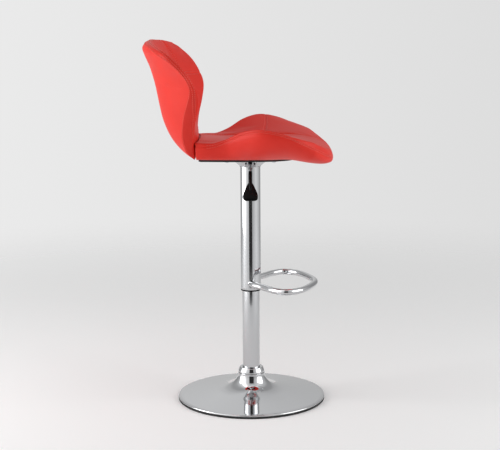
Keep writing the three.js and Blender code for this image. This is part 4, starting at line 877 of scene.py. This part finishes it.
back_rear = sewn_panel(rear_middle, rear_side, 2.2, 2.8)(u * drawn_in, v)
loop = edge_loop(*back_face.shape[:2])
start, end = back_face.reshape(-1, 3)[loop], back_rear.reshape(-1, 3)[loop]
rise = np.clip((start[:, 2:] - 0.689) / (0.2 * 0.249), 0.0, 1.0)
rise = rise * rise * (3.0 - 2.0 * rise)
over_top = np.maximum(start[:, 2:] - 0.689 - 0.7 * 0.249, 0.0)
out = np.concatenate([np.zeros_like(over_top), start[:, 1:2], 0.9 * over_top], axis=1)
thick = end - start
out *= rise / np.maximum(np.linalg.norm(out, axis=1, keepdims=True), 1e-9)
out *= 0.3 * np.linalg.norm(thick, axis=1, keepdims=True)
out *= drawn_in.ravel()[loop][:, None] ** 3
high, low = start + 0.2 * thick + out, end - 0.2 * thick + out
border_length = np.linalg.norm(high - start, axis=1) + np.linalg.norm(low - high, axis=1)
border_length += np.linalg.norm(end - low, axis=1)
first_seam = np.interp(start[:, 2], [0.689, 0.74, 0.775, 0.815, 0.845, 0.88, 0.92],
                       [0.006, 0.009, 0.015, 0.02, 0.017, 0.009, 0.006])
first_seam = np.minimum(first_seam, 0.4 * border_length)
second_seam = 0.9 * border_length
back_t = ring_places(border_length * 0.95, [first_seam, np.maximum(second_seam, first_seam + 0.013)], 4)
back_t = np.minimum(back_t, 1.0 - 0.02 * np.arange(len(back_t), 0, -1)[:, None])
back_rings = curve_between(start, high, low, end, back_t)
back = pad_mesh("back_cover", back_face, back_rings, back_rear)

around = len(loop)
back_seam_columns = [np.argmin(np.abs(back_columns + 0.5)), np.argmin(np.abs(back_columns - 0.5))]
back_seam_row = [np.argmin(np.abs(back_rows - 0.5))]
face_held = np.zeros(back_face.shape[:2], bool)
face_held[:, back_seam_columns] = True
face_held[back_seam_row] = True
face_held[:3] = True
ring_held = np.zeros((len(back_rings), around), bool)
ring_held[[4, 9]] = True
ring_held |= back_rings[..., 2] < 0.70
rear_held = np.zeros(back_face.shape[:2], bool)
rear_held[:3] = True
sink(back, np.interp(read_points(back.data)[:, 2], [0.71, 0.75], [0.0, 0.0005]))
inflate(back, np.concatenate([face_held.ravel(), ring_held.ravel(), rear_held.ravel()]), 0.0024)
face_depth = np.maximum(beside(np.arange(back_face.shape[1]), back_seam_columns)[None, :],
                        beside(np.arange(back_face.shape[0]), back_seam_row)[:, None])
ring_depth = np.broadcast_to(beside(np.arange(len(back_rings)), [4, 9])[:, None], (len(back_rings), around)).copy()
ring_depth[7:] *= np.interp(back_rings[7:, :, 2], [0.85, 0.88], [0.0, 1.0])
ring_depth[:5] = np.maximum(ring_depth[:5], face_depth.ravel()[loop])
sink(back, 0.0017 * np.concatenate([face_depth.ravel(), ring_depth.ravel(), np.zeros(back_rear[..., 0].size)]))
back_smooth = back.modifiers.new("smooth", "SUBSURF")
back_smooth.levels = 1
back_smooth.render_levels = 1
dress(back, "seat_carriage", red, "red_upholstery", "back_pad")
back_numbers = np.arange(back_face[..., 0].size).reshape(back_face.shape[:2])
ring_numbers = back_numbers.size + np.arange(len(back_rings) * around).reshape(-1, around)
free_edge = np.flatnonzero(start[:, 2] > 0.705)
back_columns_at = [(back_numbers[3:, c + a], back_numbers[3:, c + b])
                   for c in back_seam_columns for a, b in ((-2, -1), (1, 2))]
back_rows_at = [(back_numbers[back_seam_row[0] + a], back_numbers[back_seam_row[0] + b]) for a, b in ((-2, -1), (1, 2))]
back_rings_at = [(ring_numbers[a, free_edge], ring_numbers[b, free_edge]) for a, b in ((2, 3), (5, 6), (10, 11))]
capsules("back_stitches", between_lines(back, *back_columns_at, *back_rows_at, *back_rings_at))

# Spine pocket
# The flat steel spine lies on the seat board, bends up through the crease and ends inside the back pad. Both pads
# are cut round it, with a gap of 0.9 mm.
spine_line = np.array([
    [-0.0725, 0.0, 0.6528], [-0.1253, 0.0, 0.6528], [-0.1332, 0.0, 0.6534], [-0.1405, 0.0, 0.6551],
    [-0.14715, 0.0, 0.658], [-0.15315, 0.0, 0.66205], [-0.15855, 0.0, 0.66725], [-0.16325, 0.0, 0.6736],
    [-0.1912, 0.0, 0.7175], [-0.19825, 0.0, 0.73015], [-0.2037, 0.0, 0.7435], [-0.20745, 0.0, 0.7575],
    [-0.22325, 0.0, 0.833]])
spine_along = np.gradient(spine_line, axis=0)
spine_along /= np.linalg.norm(spine_along, axis=1, keepdims=True)
spine_square = 0.0024 * np.stack([-spine_along[:, 2], spine_along[:, 1], spine_along[:, 0]], axis=-1)
spine_side = np.array([0.0, 0.0529, 0.0])
pocket = surface_mesh("spine_pocket", np.stack([
    spine_line + spine_side + spine_square, spine_line + spine_side - spine_square,
    spine_line - spine_side - spine_square, spine_line - spine_side + spine_square,
], axis=1), wrap_u=True, capped=True)
pocket.data.polygons.foreach_set("use_smooth", np.zeros(len(pocket.data.polygons), bool))
for pad in (seat, back):
    cut = pad.modifiers.new("spine_cut", "BOOLEAN")
    cut.object, cut.operation, cut.solver = pocket, "DIFFERENCE", "EXACT"
    cut_pad = pad.evaluated_get(bpy.context.evaluated_depsgraph_get())
    cut_mesh = bpy.data.meshes.new_from_object(cut_pad)
    pad.modifiers.clear()
    pad.data = cut_mesh
bpy.data.objects.remove(pocket)

# Hidden metal, wood and rubber
# What the covers hide keeps the CAD's own shape: the cast weight and black painted steel of the foot, the gas
# lift's zinc-plated and nylon parts, the seat board with its lining, and the fasteners.
cast_iron = moulded("cast_iron_skin", ("#2E2F31", "#3A3B3D"), 0.7, 0.0016, 0.00025)
black_paint = moulded("black_enamel_on_steel", ("#141516", "#1B1C1D"), 0.38, 0.0011, 0.00005)
nylon = moulded("natural_nylon", ("#D2CFC4", "#DDDBD2"), 0.5, 0.0014, 0.00004)
# The seat board is near black, and its edge shows as a dark rim under the seat pad.
plywood = moulded("near_black_plywood", ("#121212", "#1C1B1A"), 0.6, 0.0022, 0.0002)
lining_cloth = moulded("black_lining_cloth", ("#141416", "#1E1E21"), 0.95, 0.0006, 0.0002)
finishes = {
    "bottom_cover": black_paint, "ballast_plate": cast_iron, "column_socket": black_paint,
    "tube_end_plate": black_paint, "thrust_washer_lower": zinc, "thrust_bearing": zinc,
    "thrust_washer_upper": zinc, "rubber_buffer": rubber, "guide_bush": nylon, "piston_rod": chrome,
    "piston": zinc, "retaining_clip": zinc, "gas_cylinder": black_paint, "cylinder_gland": rubber,
    "valve_pin": zinc, "taper_socket": black_paint, "neck_screw_left": gloss_black,
    "neck_screw_right": gloss_black, "lever_bracket": zinc, "lever_pin": zinc, "back_spine": black_paint,
    "spine_screw_left": zinc, "spine_screw_right": zinc, "seat_board": plywood, "bottom_lining": lining_cloth,
    "seat_plate": black_paint,
}
finishes.update({f"{kind}_{number}": zinc for kind in ("plate_bolt", "t_nut") for number in range(1, 5)})
for name, material in finishes.items():
    bpy.data.objects[name].material_slots[0].material = material
